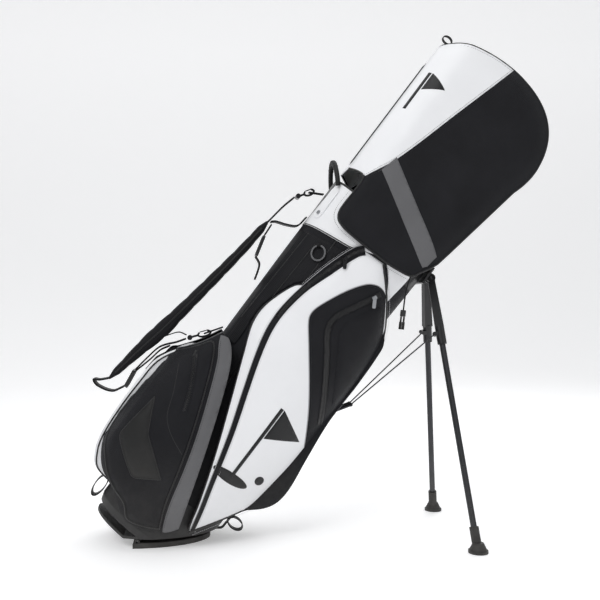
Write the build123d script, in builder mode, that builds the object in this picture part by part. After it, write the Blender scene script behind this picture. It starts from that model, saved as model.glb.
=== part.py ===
from build123d import *

import os
from math import cos, pi, radians, sin, tan

# A golf stand bag with its rain hood on and its legs out, leaning at rest on its rocker foot
# and its two leg feet. Millimetres. The bag is drawn in its own leaning frame: u runs from the
# shoulder-strap side to the spine that carries the legs, v runs across the bag, and w runs up
# the bag from its bottom. bag(u, v, w) turns such a point into the model's frame.

# ---- Driving dimensions ----
lean = 37.0                     # lean of the opened bag from upright, degrees
bag_x = -418.1                  # model X of the bottom centre, so that the whole object is centred
pin_u, pin_w, pin_height = -20.0, 14.0, 14.0    # rocker hinge pin in the base, and over the floor

tube_low_w, tube_high_w = 60.0, 900.0           # stations of the oval body tube
tube_low = (-13.5, 132.5, 104.0)                # centre u, half width along u, half width along v
tube_high = (4.0, 153.0, 116.0)
wall = 4.0                      # foam-backed fabric wall of the tube
cup_wall = 5.0
cup_top = 150.0                 # upper edge of the moulded base cup
cuff_bottom = 850.0             # lower edge of the moulded top cuff
panel_half_width = 56.0         # half width of the strap-side and spine-side panels
soft_gap = 0.5                  # clearance round soft pieces

cut_height = 21.0               # level the base is cut to above the floor, over the rocker foot
foot_thickness = 12.0
foot_reach = 165.0
foot_half_width = 98.0

pivot = (176.0, -24.0, 908.0)   # near leg hinge
leg_foot = (593.0, -182.0, 458.4)               # near leg foot on the floor
fold_way = (-12.0, -15.0, -638.0)               # direction of a folded leg
leg_radius = 7.0
bow_reach = 134.0               # along the leg from its hinge to the bow's eye
bow_offset = 14.0               # from the leg's centre line to the bow's eye
bow_way = Vector(0.26488, 0.94756, -0.17878).normalized()   # the bow's pin, across the leg
rod_radius = 3.0
rod_out = 10.0                  # push rod's distance out of the spine
slider_w = 478.0
slider_out = 16.0               # bow's lower pivot, out of the spine
keeper = (203.0, -12.0, 551.0)  # where the two bow wires come together
wire_radius = 1.6

hood_wall = 3.0
# Stations of the hood's block: height w, centre u, half widths along u and v.
hood_stations = ((790.0, 5.0, 175.0, 123.0), (965.0, 10.0, 185.0, 121.5), (1435.0, 30.0, 215.0, 76.0))
hood_corner = 68.0

strap_half_width = 32.0
webbing_half_width = 17.0
pin_clearance = 0.06

# ---- The leaning frame ----
lean_sin = sin(radians(lean))
lean_cos = cos(radians(lean))
bag_u = Vector(lean_cos, 0, -lean_sin)
bag_w = Vector(lean_sin, 0, lean_cos)
bag_origin = Vector(bag_x, 0, pin_height + pin_u * lean_sin - pin_w * lean_cos)


def bag(u, v, w):
    """Point of the model at u, v, w of the bag."""
    return bag_origin + bag_u * u + Vector(0, v, 0) + bag_w * w


def way(u, v, w):
    """Unit direction of the model for a direction given in the bag's frame."""
    return (bag_u * u + Vector(0, v, 0) + bag_w * w).normalized()


def level(w, u=0.0, v=0.0):
    """Plane across the bag at height w."""
    return Plane(origin=bag(u, v, w), x_dir=bag_u, z_dir=bag_w)


def profile(v):
    """Side-view plane at v, facing the near side, so extrusions go to smaller v."""
    return Plane(origin=bag(0, v, 0), x_dir=bag_u, z_dir=(0, -1, 0))


def across(u, v, w):
    """Plane at a point of the bag that faces the near side."""
    return Plane(origin=bag(u, v, w), x_dir=bag_u, z_dir=(0, -1, 0))


def tube_size(w):
    """Centre u and half widths of the body tube at height w."""
    share = (w - tube_low_w) / (tube_high_w - tube_low_w)
    return [low + (high - low) * share for low, high in zip(tube_low, tube_high)]


def spine(w):
    """u of the tube's spine side at height w."""
    centre, half_u, _ = tube_size(w)
    return centre + half_u


def oval(bottom, top, grow_bottom, grow_top):
    """Solid oval tube between two heights, grown or shrunk from the body tube."""
    with BuildPart() as core:
        for w, grow in ((bottom, grow_bottom), (top, grow_top)):
            centre, half_u, half_v = tube_size(w)
            with BuildSketch(level(w, centre)):
                Ellipse(half_u + grow, half_v + grow)
        loft(ruled=True)
    return core.part


def slab(outline, v_from, v_to, radii=None):
    """Solid with a side-view outline of u, w points, from v_from down to v_to."""
    with BuildPart() as plate:
        with BuildSketch(profile(v_from)):
            with BuildLine():
                if radii is None:
                    Polyline(*outline, close=True)
                else:
                    FilletPolyline(*outline, radius=radii, close=True)
            make_face()
        extrude(amount=v_from - v_to)
    return plate.part


def rod_between(start, end, radius):
    """Round bar between two model points."""
    run = end - start
    with BuildPart() as bar:
        with BuildSketch(Plane(origin=start, z_dir=run)):
            Circle(radius)
        extrude(amount=run.length)
    return bar.part


def ribbon(points, thickness, v_centre, half_width, radius=6.0):
    """Flat strap whose centre line runs through u, w points, centred on v_centre."""
    with BuildPart() as strap:
        with BuildSketch(profile(v_centre + half_width)):
            with BuildLine() as line:
                if len(points) > 2:
                    FilletPolyline(*points, radius=radius)
                else:
                    Line(*points)
            trace(line.line, line_width=thickness)
        extrude(amount=2 * half_width)
    return strap.part


def skin_plane(turn, w, lift):
    """Plane on the tube's skin, turned about the bag from its spine side, lifted off it.

    Its x runs round the tube and its y runs up the bag; negative turns are the near side.
    """
    centre, half_u, half_v = tube_size(w)
    across_u, across_v = cos(radians(turn)), sin(radians(turn))
    foot = bag(centre + half_u * across_u, half_v * across_v, w)
    _, low_u, low_v = tube_size(w - 50)
    low = bag(tube_size(w - 50)[0] + low_u * across_u, low_v * across_v, w - 50)
    up = (foot - low).normalized()
    round_way = way(-half_u * across_v, half_v * across_u, 0)
    normal = round_way.cross(up)
    return Plane(origin=foot + normal * lift, x_dir=round_way, z_dir=normal)


def far_twin(near):
    """The far side's twin of a near piece, mirrored across the bag's middle plane."""
    with BuildPart() as twin:
        mirror(near.part, about=Plane.XZ)
    return twin


spine_way = way(spine(900.0) - spine(60.0), 0, 840.0)
spine_out = Vector(0, 1, 0).cross(spine_way)


def on_spine(out, w, v=0.0):
    """Point square out of the spine side of the tube."""
    return bag(spine(w), v, w) + spine_out * out


# ---- Base: moulded cup, rocker foot and its hinge pin ----
pin_centre = bag(pin_u, 0, pin_w)
lug_half, lug_radius, lug_thickness = 80.0, 8.0, 10.0
hinge_pin_radius = 3.0
base_chamfer = 12.0
cup_floor = 6.0

cup_inside = oval(cup_floor, cup_top + 1, -cup_wall, -cup_wall)
with BuildPart() as base_cup:
    add(oval(0, 40, -base_chamfer, 0))
    add(oval(40, cup_top, 0, 0))
    split(bisect_by=Plane.XY.offset(cut_height), keep=Keep.TOP)
    with BuildPart(mode=Mode.PRIVATE) as hollow:
        add(cup_inside)
        split(bisect_by=Plane.XY.offset(cut_height + cup_floor), keep=Keep.TOP)
    add(hollow.part, mode=Mode.SUBTRACT)
    for v in (-lug_half, 0.0, lug_half):
        lug_face = Plane(origin=pin_centre + Vector(0, v + lug_thickness / 2, 0),
                         x_dir=(1, 0, 0), z_dir=(0, -1, 0))
        with BuildSketch(lug_face):
            Circle(lug_radius)
            with Locations((0, 6)):
                Rectangle(2 * lug_radius, 12)
            Circle(hinge_pin_radius + pin_clearance, mode=Mode.SUBTRACT)
        extrude(amount=lug_thickness)

with BuildPart() as rocker_pin:
    with BuildSketch(Plane(origin=pin_centre + Vector(0, 86, 0), z_dir=(0, -1, 0))):
        Circle(hinge_pin_radius)
    extrude(amount=172)

barrel_radius, barrel_gap = 6.0, 2.0
with BuildPart() as rocker_foot:
    with BuildSketch(Plane(origin=(pin_centre.X, 0, 0))):
        Ellipse(foot_reach, foot_half_width)
        with Locations((-foot_reach / 2, 0)):
            Rectangle(foot_reach, 2 * foot_half_width, mode=Mode.SUBTRACT)
        with Locations((-5, 0)):
            Rectangle(10, 2 * foot_half_width)
    extrude(amount=foot_thickness)
    fillet(rocker_foot.edges().filter_by(Plane.XY).group_by(Axis.Z)[-1], 2)
    with BuildSketch(Plane(origin=pin_centre + Vector(0, foot_half_width - 2, 0), z_dir=(0, -1, 0))):
        Circle(barrel_radius)
    extrude(amount=2 * foot_half_width - 4)
    for v in (-lug_half, 0.0, lug_half):
        with Locations(pin_centre + Vector(0, v, 0)):
            Box(2 * lug_radius + 2 * barrel_gap + 4, lug_thickness + 1.0, 40, mode=Mode.SUBTRACT)
    with BuildSketch(Plane(origin=pin_centre + Vector(0, foot_half_width, 0), z_dir=(0, -1, 0))):
        Circle(hinge_pin_radius + pin_clearance)
    extrude(amount=2 * foot_half_width, mode=Mode.SUBTRACT)

# ---- Body tube: four sewn panels on two stays, and the moulded cuff ----
body_bottom = cup_top + 0.3
tube_skin_out = oval(body_bottom, cuff_bottom - 0.3, 0, 0)
tube_skin_in = oval(body_bottom - 1, cuff_bottom + 1, -wall, -wall)
near_seam = Plane(origin=bag(0, -panel_half_width, 0), x_dir=bag_u, z_dir=(0, 1, 0))
far_seam = Plane(origin=bag(0, panel_half_width, 0), x_dir=bag_u, z_dir=(0, 1, 0))
mid_seam = Plane(origin=bag(0, 0, 0), x_dir=(0, 1, 0), z_dir=bag_u)

with BuildPart() as body_near_panel:
    add(tube_skin_out)
    add(tube_skin_in, mode=Mode.SUBTRACT)
    split(bisect_by=near_seam, keep=Keep.BOTTOM)
body_far_panel = far_twin(body_near_panel)

with BuildPart() as body_strap_panel:
    add(tube_skin_out)
    add(tube_skin_in, mode=Mode.SUBTRACT)
    split(bisect_by=near_seam, keep=Keep.TOP)
    split(bisect_by=far_seam, keep=Keep.BOTTOM)
    split(bisect_by=mid_seam, keep=Keep.BOTTOM)

with BuildPart() as body_spine_panel:
    add(tube_skin_out)
    add(tube_skin_in, mode=Mode.SUBTRACT)
    split(bisect_by=near_seam, keep=Keep.TOP)
    split(bisect_by=far_seam, keep=Keep.BOTTOM)
    split(bisect_by=mid_seam, keep=Keep.TOP)

stay_radius, stay_half_span, stay_inset = 4.0, 38.0, 24.0
with BuildPart() as stay_rods:
    for v in (-stay_half_span, stay_half_span):
        foot_end = bag(spine(cup_top) - stay_inset, v, cup_top + 1)
        head_end = bag(spine(cuff_bottom) - stay_inset, v, cuff_bottom - 1)
        add(rod_between(foot_end, head_end, stay_radius))

rim_strap_w, rim_spine_w = 960.0, 905.0
rim_cut = Plane(origin=bag(0, 0, (rim_strap_w + rim_spine_w) / 2), x_dir=(0, 1, 0),
                z_dir=way(rim_strap_w - rim_spine_w, 0, 306.0))
with BuildPart() as cuff_ring:
    add(oval(cuff_bottom, 1000, 0, 0))
    add(oval(cuff_bottom - 1, 1001, -cup_wall, -cup_wall), mode=Mode.SUBTRACT)
    split(bisect_by=rim_cut, keep=Keep.BOTTOM)

# Dividers: one bar from strap side to spine side and two across, with full-length sleeves.
divider_w, divider_height, divider_thickness = 862.0, 26.0, 12.0
divider_space = oval(840, 960, -cup_wall - 0.4, -cup_wall - 0.4)
with BuildPart() as divider_top:
    with BuildSketch(level(divider_w)):
        Rectangle(360, divider_thickness)
        for u in (-58.0, 58.0):
            with Locations((u, 0)):
                Rectangle(divider_thickness, 280)
    extrude(amount=divider_height)
    add(divider_space, mode=Mode.INTERSECT)

sleeve_space = oval(170, divider_w - 1, -wall - 6, -wall - 6)
with BuildPart() as divider_sleeves:
    with BuildSketch(level(170)):
        Rectangle(226, 2)
    extrude(amount=divider_w - 1 - 170)
    add(sleeve_space, mode=Mode.INTERSECT)

# ---- Grab handle with its two riveted tabs ----
handle_root = bag(-140, 0, 944)
handle_lean = way(-43.0, 0, 49.0)
handle_half_width, handle_rise, handle_bar = 62.0, 68.0, 14.0
handle_plane = Plane(origin=handle_root, x_dir=(0, 1, 0), z_dir=Vector(0, 1, 0).cross(handle_lean))
with BuildPart() as grab_handle:
    with BuildSketch(handle_plane):
        Ellipse(handle_half_width, handle_rise)
        Ellipse(handle_half_width - handle_bar, handle_rise - handle_bar, mode=Mode.SUBTRACT)
        with Locations((0, -handle_rise / 2)):
            Rectangle(2 * handle_half_width, handle_rise, mode=Mode.SUBTRACT)
    extrude(amount=6, both=True)

tab_turn, tab_w, tab_length, tab_width, tab_thickness = -155.0, 896.0, 88.0, 28.0, 4.0
tab_face = skin_plane(tab_turn, tab_w, 0.4)
with BuildPart() as near_tab:
    with BuildSketch(tab_face):
        RectangleRounded(tab_width, tab_length, 13)
    extrude(amount=tab_thickness)
with BuildPart() as handle_tabs:
    add(near_tab.part)
    mirror(near_tab.part, about=Plane.XZ)

rivet_face = tab_face.offset(tab_thickness)
with BuildPart() as near_rivet:
    with BuildSketch(rivet_face):
        with Locations((0, -tab_length / 2 + 14)):
            Circle(5)
    extrude(amount=2.5)
with BuildPart() as handle_rivets:
    add(near_rivet.part)
    mirror(near_rivet.part, about=Plane.XZ)

# ---- Legs: yoke, pins, brackets, tubes and feet ----
pivot_point = bag(*pivot)
open_way = (bag(*leg_foot) - pivot_point).normalized()
shut_way = way(*fold_way)
hinge_way = open_way.cross(shut_way).normalized()
leg_length = (bag(*leg_foot) - pivot_point).length
inner_way = hinge_way.cross(open_way)
if inner_way.dot(bag_u) > 0:
    inner_way = inner_way * -1
knuckle_half, cheek_gap, cheek_thickness = 9.0, 0.5, 5.0
leg_pin_radius = 2.5
knuckle_radius = 9.0


def yoke_cheeks():
    """The two cheeks of one leg hinge, as one piece of the yoke."""
    with BuildPart() as cheeks:
        for start in (knuckle_half + cheek_gap, -knuckle_half - cheek_gap - cheek_thickness):
            face = Plane(origin=pivot_point + hinge_way * start,
                         x_dir=bag_u - hinge_way * bag_u.dot(hinge_way), z_dir=hinge_way)
            with BuildSketch(face):
                Circle(10)
                with Locations((-10, 0)):
                    Rectangle(20, 20)
                Circle(leg_pin_radius + pin_clearance, mode=Mode.SUBTRACT)
            extrude(amount=cheek_thickness)
    return cheeks.part


near_cheeks = yoke_cheeks()
yoke_inner_u = spine(905.0) + 1.2
with BuildPart() as leg_yoke:
    add(near_cheeks)
    mirror(near_cheeks, about=Plane.XZ)
    with BuildSketch(level(884)):
        with Locations((yoke_inner_u + 2.5, 0)):
            Rectangle(5, 92)
    extrude(amount=46)
    split(bisect_by=Plane(origin=bag(yoke_inner_u, 0, 0), x_dir=(0, 1, 0), z_dir=bag_u), keep=Keep.TOP)

pin_reach = knuckle_half + cheek_gap + cheek_thickness + 1.5
near_pin = rod_between(pivot_point - hinge_way * pin_reach, pivot_point + hinge_way * pin_reach,
                       leg_pin_radius)
with BuildPart() as leg_hinge_pins:
    add(near_pin)
    mirror(near_pin, about=Plane.XZ)

leg_plane = Plane(origin=pivot_point, x_dir=inner_way, z_dir=open_way)


def along_leg(distance, inwards=0.0):
    """Point down the near leg from its hinge, moved towards the bag by inwards."""
    return pivot_point + open_way * distance + inner_way * inwards


bracket_end, socket_start, tube_top, tube_end = 160.0, 116.0, 128.0, leg_length - 22.0
eye_point = along_leg(bow_reach, bow_offset)
eye_half, eye_pin_radius = 3.0, 2.0
eye_way = (inner_way - bow_way * inner_way.dot(bow_way)).normalized()
with BuildPart() as near_leg_bracket:
    with BuildSketch(Plane(origin=leg_plane.origin, x_dir=inner_way, z_dir=open_way)):
        Rectangle(16, 15)
    with BuildSketch(Plane(origin=along_leg(socket_start + 4), x_dir=inner_way, z_dir=open_way)):
        Rectangle(21, 17)
    loft(ruled=True)
    with BuildSketch(Plane(origin=along_leg(socket_start), x_dir=inner_way, z_dir=open_way)):
        Circle(11)
    extrude(amount=bracket_end - socket_start)
    knuckle_face = Plane(origin=pivot_point - hinge_way * knuckle_half, z_dir=hinge_way)
    with BuildSketch(knuckle_face):
        Circle(knuckle_radius)
    extrude(amount=2 * knuckle_half)
    with BuildSketch(knuckle_face):
        Circle(leg_pin_radius + pin_clearance)
    extrude(amount=2 * knuckle_half, mode=Mode.SUBTRACT)
    eye_face = Plane(origin=eye_point - bow_way * 9, x_dir=eye_way, z_dir=bow_way)
    with BuildSketch(eye_face):
        Circle(5)
        with Locations((-7, 0)):
            Rectangle(14, 10)
    extrude(amount=18)
    with BuildSketch(Plane(origin=eye_point - bow_way * 4, x_dir=eye_way, z_dir=bow_way)):
        Circle(7.5)
    extrude(amount=8, mode=Mode.SUBTRACT)
    with BuildSketch(eye_face):
        Circle(eye_pin_radius)
    extrude(amount=18)
    with BuildSketch(Plane(origin=along_leg(tube_top), z_dir=open_way)):
        Circle(leg_radius + pin_clearance)
    extrude(amount=bracket_end, mode=Mode.SUBTRACT)
far_leg_bracket = far_twin(near_leg_bracket)

with BuildPart() as near_leg_tube:
    with BuildSketch(Plane(origin=along_leg(tube_top + 0.2), z_dir=open_way)):
        Circle(leg_radius)
        Circle(leg_radius - 1.2, mode=Mode.SUBTRACT)
    extrude(amount=tube_end - tube_top - 0.2)
far_leg_tube = far_twin(near_leg_tube)

foot_sole_radius, foot_sole, foot_cone = 22.0, 6.0, 16.0
with BuildPart() as near_leg_foot:
    with Locations(bag(*leg_foot)):
        Cylinder(foot_sole_radius, foot_sole, align=(Align.CENTER, Align.CENTER, Align.MIN))
    with Locations(bag(*leg_foot) + Vector(0, 0, foot_sole)):
        Cone(foot_sole_radius - 2, 12, foot_cone, align=(Align.CENTER, Align.CENTER, Align.MIN))
    with BuildSketch(Plane(origin=along_leg(leg_length - 56), z_dir=open_way)):
        Circle(10.5)
    extrude(amount=50)
    with BuildSketch(Plane(origin=along_leg(leg_length - 60), z_dir=open_way)):
        Circle(leg_radius + pin_clearance)
    extrude(amount=60 - 21.5, mode=Mode.SUBTRACT)
    split(bisect_by=Plane.XY, keep=Keep.TOP)
far_leg_foot = far_twin(near_leg_foot)

# ---- Bow: slider on the spine, push rod to the rocker foot, and two wire arms ----

slider_low, slider_high = slider_w - 20, slider_w + 20
slider_half, link_v = 10.0, -19.0
window_half_u, window_half_w, window_depth = 7.5, 15.0, 4.5
with BuildPart() as bow_slider:
    with BuildSketch(Plane(origin=on_spine(0, slider_low), x_dir=spine_out, z_dir=spine_way)):
        with Locations((15.5, 0)):
            Rectangle(23, 2 * slider_half)
    extrude(amount=slider_high - slider_low)
    fillet(bow_slider.edges(), 2)
    for side in (-1, 1):
        with BuildSketch(Plane(origin=on_spine(slider_out, slider_w, side * (slider_half - window_depth)),
                               x_dir=spine_out, z_dir=(0, side, 0))):
            Rectangle(2 * window_half_u, 2 * window_half_w)
        extrude(amount=window_depth + 1, mode=Mode.SUBTRACT)

rod_height = foot_thickness + 4.5
rod_top = on_spine(rod_out, slider_low)
rod_corner = rod_top + spine_way * ((rod_height - rod_top.Z) / spine_way.Z)
rod_end = Vector(bag(52.7, 0, 71.9).X, 0, rod_height)
with BuildPart() as push_rod:
    with BuildLine() as rod_line:
        FilletPolyline(rod_top, rod_corner, rod_end, radius=10)
    with BuildSketch(Plane(origin=rod_top, z_dir=spine_way * -1)):
        Circle(rod_radius)
    sweep()
    with BuildSketch(Plane(origin=rod_end + Vector(0, 25, 0), z_dir=(0, -1, 0))):
        Circle(4)
    extrude(amount=50)

with BuildPart() as rod_guides:
    for w in (200.0, 330.0):
        with BuildSketch(Plane(origin=on_spine(0, w), x_dir=spine_out, z_dir=spine_way)):
            with Locations((9.5, 0)):
                Rectangle(18.4, 18)
            with Locations((rod_out, 0)):
                Circle(rod_radius + 0.15, mode=Mode.SUBTRACT)
        extrude(amount=12)

keeper_point = bag(*keeper)
link_low = on_spine(slider_out, slider_w, link_v)
with BuildPart() as near_bow_arm:
    add(rod_between(link_low, keeper_point, 4))
    with BuildSketch(Plane(origin=link_low + Vector(0, -4, 0), z_dir=(0, 1, 0))):
        Circle(4)
    extrude(amount=9)
    with BuildSketch(Plane(origin=link_low + Vector(0, 4, 0), z_dir=(0, 1, 0))):
        Circle(2.5)
    extrude(amount=8)
    wire_way = (eye_point - keeper_point).normalized()
    with Locations(keeper_point):
        Sphere(5)
    add(rod_between(keeper_point, eye_point - wire_way * 4, wire_radius))
    with BuildSketch(Plane(origin=eye_point - bow_way * eye_half, x_dir=eye_way, z_dir=bow_way)):
        Circle(4.6)
    extrude(amount=2 * eye_half)
    with BuildSketch(Plane(origin=eye_point - bow_way * (eye_half + 1), z_dir=bow_way)):
        Circle(eye_pin_radius + pin_clearance)
    extrude(amount=2 * eye_half + 2, mode=Mode.SUBTRACT)
far_bow_arm = far_twin(near_bow_arm)

# ---- Pockets ----
pocket_inner_v = 66.0
pocket_outer_v = 172.0
pocket_skin = 3.0


def shell_between(stations, inset):
    """Oval solid through several heights, each with its growth over the tube."""
    with BuildPart() as body:
        for w, grow in stations:
            centre, half_u, half_v = tube_size(w)
            with BuildSketch(level(w, centre)):
                Ellipse(half_u + grow - inset, half_v + grow - inset)
        loft(ruled=True)
    return body.part


def block_between(stations, inset):
    """Rounded block through several heights, each with its half widths."""
    with BuildPart() as block:
        for w, half_u, half_v in stations:
            with BuildSketch(level(w, tube_size(w)[0])):
                RectangleRounded(2 * (half_u - inset), 2 * (half_v - inset), 84 - inset)
        loft(ruled=True)
    return block.part


def pocket_form(outline, radii, envelope, v_from, v_to, inset):
    """Pocket's filled form: its side-view outline met with its bulge, less the bag's body."""
    around = oval(20, 960, soft_gap + inset, soft_gap + inset)
    with BuildPart() as form:
        with BuildSketch(profile(v_from - inset)):
            with BuildLine():
                FilletPolyline(*outline, radius=radii, close=True)
            make_face()
            if inset:
                offset(amount=-inset)
        extrude(amount=v_from - v_to - 2 * inset)
        add(envelope, mode=Mode.INTERSECT)
        add(around, mode=Mode.SUBTRACT)
    return form.part


apparel_outline = [(57, 104), (0, 276), (-88, 503), (-112, 594), (-80, 695), (-14, 848), (50, 848),
                   (172, 708), (177, 490), (195, 295), (176, 238), (128, 200)]
apparel_radii = [6, 40, 40, 30, 40, 8, 12, 30, 40, 20, 20, 30]
apparel_stations = [(90, 26), (330, 46), (600, 48), (860, 8)]
with BuildPart() as near_apparel_pocket:
    add(pocket_form(apparel_outline, apparel_radii, shell_between(apparel_stations, 0.0),
                    -pocket_inner_v, -pocket_outer_v, 0.0))
    add(pocket_form(apparel_outline, apparel_radii, shell_between(apparel_stations, pocket_skin),
                    -pocket_inner_v, -pocket_outer_v, pocket_skin), mode=Mode.SUBTRACT)
far_apparel_pocket = far_twin(near_apparel_pocket)

lower_outline = [(-150, 508), (-122, 496), (-92, 452), (-28, 278), (34, 96), (6, 66), (-75, 46), (-137, 86),
                 (-190, 112), (-228, 160), (-226, 400), (-206, 420)]
lower_radii = [12, 20, 60, 60, 8, 20, 40, 20, 20, 40, 8, 8]
lower_stations = [(30, 205, 128), (250, 222, 148), (520, 190, 142)]
with BuildPart() as near_lower_pocket:
    add(pocket_form(lower_outline, lower_radii, block_between(lower_stations, 0.0),
                    -pocket_inner_v, -pocket_outer_v, 0.0))
    add(pocket_form(lower_outline, lower_radii, block_between(lower_stations, pocket_skin),
                    -pocket_inner_v, -pocket_outer_v, pocket_skin), mode=Mode.SUBTRACT)
far_lower_pocket = far_twin(near_lower_pocket)

ball_outline = [(-120, 452), (-186, 446), (-236, 372), (-241, 250), (-228, 130), (-200, 86), (-120, 76)]
ball_radii = [4, 24, 40, 60, 30, 20, 4]
ball_stations = [(30, 260, 160), (520, 260, 160)]
ball_half_width = 64.0
with BuildPart() as ball_pocket:
    add(pocket_form(ball_outline, ball_radii, block_between(ball_stations, 0.0),
                    ball_half_width, -ball_half_width, 0.0))
    add(pocket_form(ball_outline, ball_radii, block_between(ball_stations, pocket_skin),
                    ball_half_width, -ball_half_width, pocket_skin), mode=Mode.SUBTRACT)

# ---- Shoulder strap, its webbing and hardware ----
pad_outline = [(-229, 782), (-242, 676), (-270, 497), (-288, 404), (-296, 332), (-302, 262), (-288, 262),
               (-269, 338), (-248, 419), (-241, 482), (-217, 690), (-212, 782)]
with BuildPart() as shoulder_pad:
    add(slab(pad_outline, strap_half_width, -strap_half_width, [4, 60, 60, 40, 20, 3, 3, 20, 20, 40, 60, 4]))

with BuildPart() as strap_webbing:
    add(ribbon([(-220, 786), (-212, 838), (-204.5, 866)], 4, 0, webbing_half_width, 12))
    add(ribbon([(-206, 792), (-158, 816), (-152.5, 846)], 4, 0, webbing_half_width, 8))
    add(ribbon([(-208.4, 778), (-207.5, 753)], 4, 0, webbing_half_width))
    add(ribbon([(-192.5, 696), (-176, 689), (-162, 652)], 4, 0, webbing_half_width, 4))
    add(ribbon([(-295, 258.5), (-324, 238), (-306, 229), (-270, 240), (-257, 262)], 4, 0,
               webbing_half_width, 4))
    add(ribbon([(-259, 316), (-247, 388), (-228, 413), (-209, 440)], 4, 0, webbing_half_width, 12))


def ring_plate(u, w, half_u, half_w, bar, half_v, turn):
    """Rectangular buckle frame seen from the side as a thick bar, open across its middle."""
    frame_way = Plane(origin=bag(u, 0, w), x_dir=(0, 1, 0), z_dir=way(cos(radians(turn)), 0, sin(radians(turn))))
    with BuildPart() as frame:
        with BuildSketch(frame_way):
            RectangleRounded(2 * half_v, 2 * half_w, 5)
            RectangleRounded(2 * (half_v - bar), 2 * (half_w - bar), 2, mode=Mode.SUBTRACT)
        extrude(amount=half_u, both=True)
    return frame.part


with BuildPart() as strap_adjusters:
    add(ring_plate(-256, 288, 4.5, 22, 5, webbing_half_width + 7, 8))
    add(ring_plate(-200, 724, 3.5, 25, 5, webbing_half_width + 7, 15))

hook_wire = 2.5
gate_from, nose_from = -0.2, 0.145   # the hook's opening, along it from its eye's middle


def snap_hook(base, tip, half_width):
    """Swivel snap hook lying in side view from its webbing eye to its nose."""
    run = tip - base
    hook_plane = Plane(origin=base, x_dir=run, z_dir=(0, -1, 0))
    length = run.length
    with BuildPart() as hook:
        with BuildSketch(hook_plane):
            with BuildLine() as curve:
                Polyline((0, 0), (length * 0.35, 0))
            trace(curve.line, line_width=5)
            with Locations((length * 0.68, 0)):
                Ellipse(length * 0.34, half_width)
                Ellipse(length * 0.34 - 2 * hook_wire, half_width - 2 * hook_wire, mode=Mode.SUBTRACT)
                with Locations(((gate_from + nose_from) * length / 2, half_width)):
                    Rectangle((nose_from - gate_from) * length, 4 * hook_wire + 2, mode=Mode.SUBTRACT)
        extrude(amount=hook_wire, both=True)
        with BuildSketch(hook_plane):
            Circle(6)
        extrude(amount=webbing_half_width - 2, both=True)
    return hook


def hook_gate(base, tip, half_width):
    """Sprung gate that closes the gap in a snap hook."""
    run = tip - base
    length = run.length
    gate_plane = Plane(origin=base, x_dir=run, z_dir=(0, -1, 0))
    low, high = (0.68 + gate_from) * length + 2.0, (0.68 + nose_from) * length - 0.5
    with BuildPart() as gate:
        with BuildSketch(gate_plane):
            with Locations(((low + high) / 2, half_width - hook_wire - 0.4)):
                Rectangle(high - low, 2.6)
            with Locations((low, half_width - hook_wire - 0.4)):
                Circle(1.3)
        extrude(amount=hook_wire - 0.5, both=True)
    return gate


upper_hook_base, upper_hook_tip = bag(-199, 0, 874), bag(-176, 0, 910)
lower_hook_base, lower_hook_tip = bag(-202, 0, 449), bag(-170, 0, 490)
upper_strap_hook = snap_hook(upper_hook_base, upper_hook_tip, 9)
lower_strap_hook = snap_hook(lower_hook_base, lower_hook_tip, 9)
upper_hook_gate = hook_gate(upper_hook_base, upper_hook_tip, 9)
lower_hook_gate = hook_gate(lower_hook_base, lower_hook_tip, 9)

anchor_cord, anchor_half = 1.8, 7.0
with BuildPart() as strap_anchor_loops:
    for base, tip, root in ((upper_hook_base, upper_hook_tip, bag(-152.5, 0, 916)),
                            (lower_hook_base, lower_hook_tip, bag(-154, 0, 516))):
        eye = base + (tip - base) * 0.68
        for v in (-anchor_half, anchor_half):
            add(rod_between(eye + Vector(0, v, 0), root + Vector(0, v, 0), anchor_cord))
        add(rod_between(eye + Vector(0, -anchor_half, 0), eye + Vector(0, anchor_half, 0), anchor_cord))

# ---- Small loops ----


def loop_ring(plane, half_long, half_short, bar, thickness):
    """Flat oval ring in a plane."""
    with BuildPart() as ring:
        with BuildSketch(plane):
            Ellipse(half_long, half_short)
            Ellipse(half_long - bar, half_short - bar, mode=Mode.SUBTRACT)
        extrude(amount=thickness / 2, both=True)
    return ring


base_webbing_loop = loop_ring(across(144, -36, 166), 21, 14, 3, 20)
umbrella_loop = loop_ring(across(-162, 0, 46), 13.5, 30, 3.5, 26)

# Towel ring hanging on a webbing tab, on the strap side of the near pocket.
towel_lift, towel_bar = 5.5, 4.0
towel_half_long, towel_half_short = 20.0, 18.0
towel_skin = skin_plane(-124.0, 783.0, towel_lift)
down = Vector(0, 0, -1)
towel_hang = (down - towel_skin.z_dir * down.dot(towel_skin.z_dir)).normalized()
towel_face = Plane(origin=towel_skin.origin, x_dir=towel_hang, z_dir=towel_skin.z_dir)
towel_ring = loop_ring(towel_face, towel_half_long, towel_half_short, towel_bar, towel_bar)
towel_hinge_point = towel_face.origin - towel_hang * (towel_half_long - towel_bar / 2)
tab_half_width, tab_channel, tab_web, tab_stand = 4.0, 3.7, 1.2, 1.2
with BuildPart() as towel_tab:
    with BuildSketch(Plane(origin=towel_hinge_point - towel_face.y_dir * tab_half_width,
                           x_dir=towel_hang, z_dir=towel_face.y_dir)):
        Circle(tab_channel + tab_web)
        with Locations((0, (towel_lift - tab_stand) / 2)):
            Rectangle(2 * (tab_channel + tab_web), towel_lift - tab_stand)
        Circle(tab_channel, mode=Mode.SUBTRACT)
    extrude(amount=2 * tab_half_width)

# ---- Rain hood ----
hood_front_u, hood_hem_spine = -144.0, (151.0, 930.0)
hood_arcs = [((-140, 1384), (-50, 1414), (40, 1420)), ((40, 1420), (163, 1374), (212, 1268)),
             ((212, 1268), (211, 1226), (199, 1180))]


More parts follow.
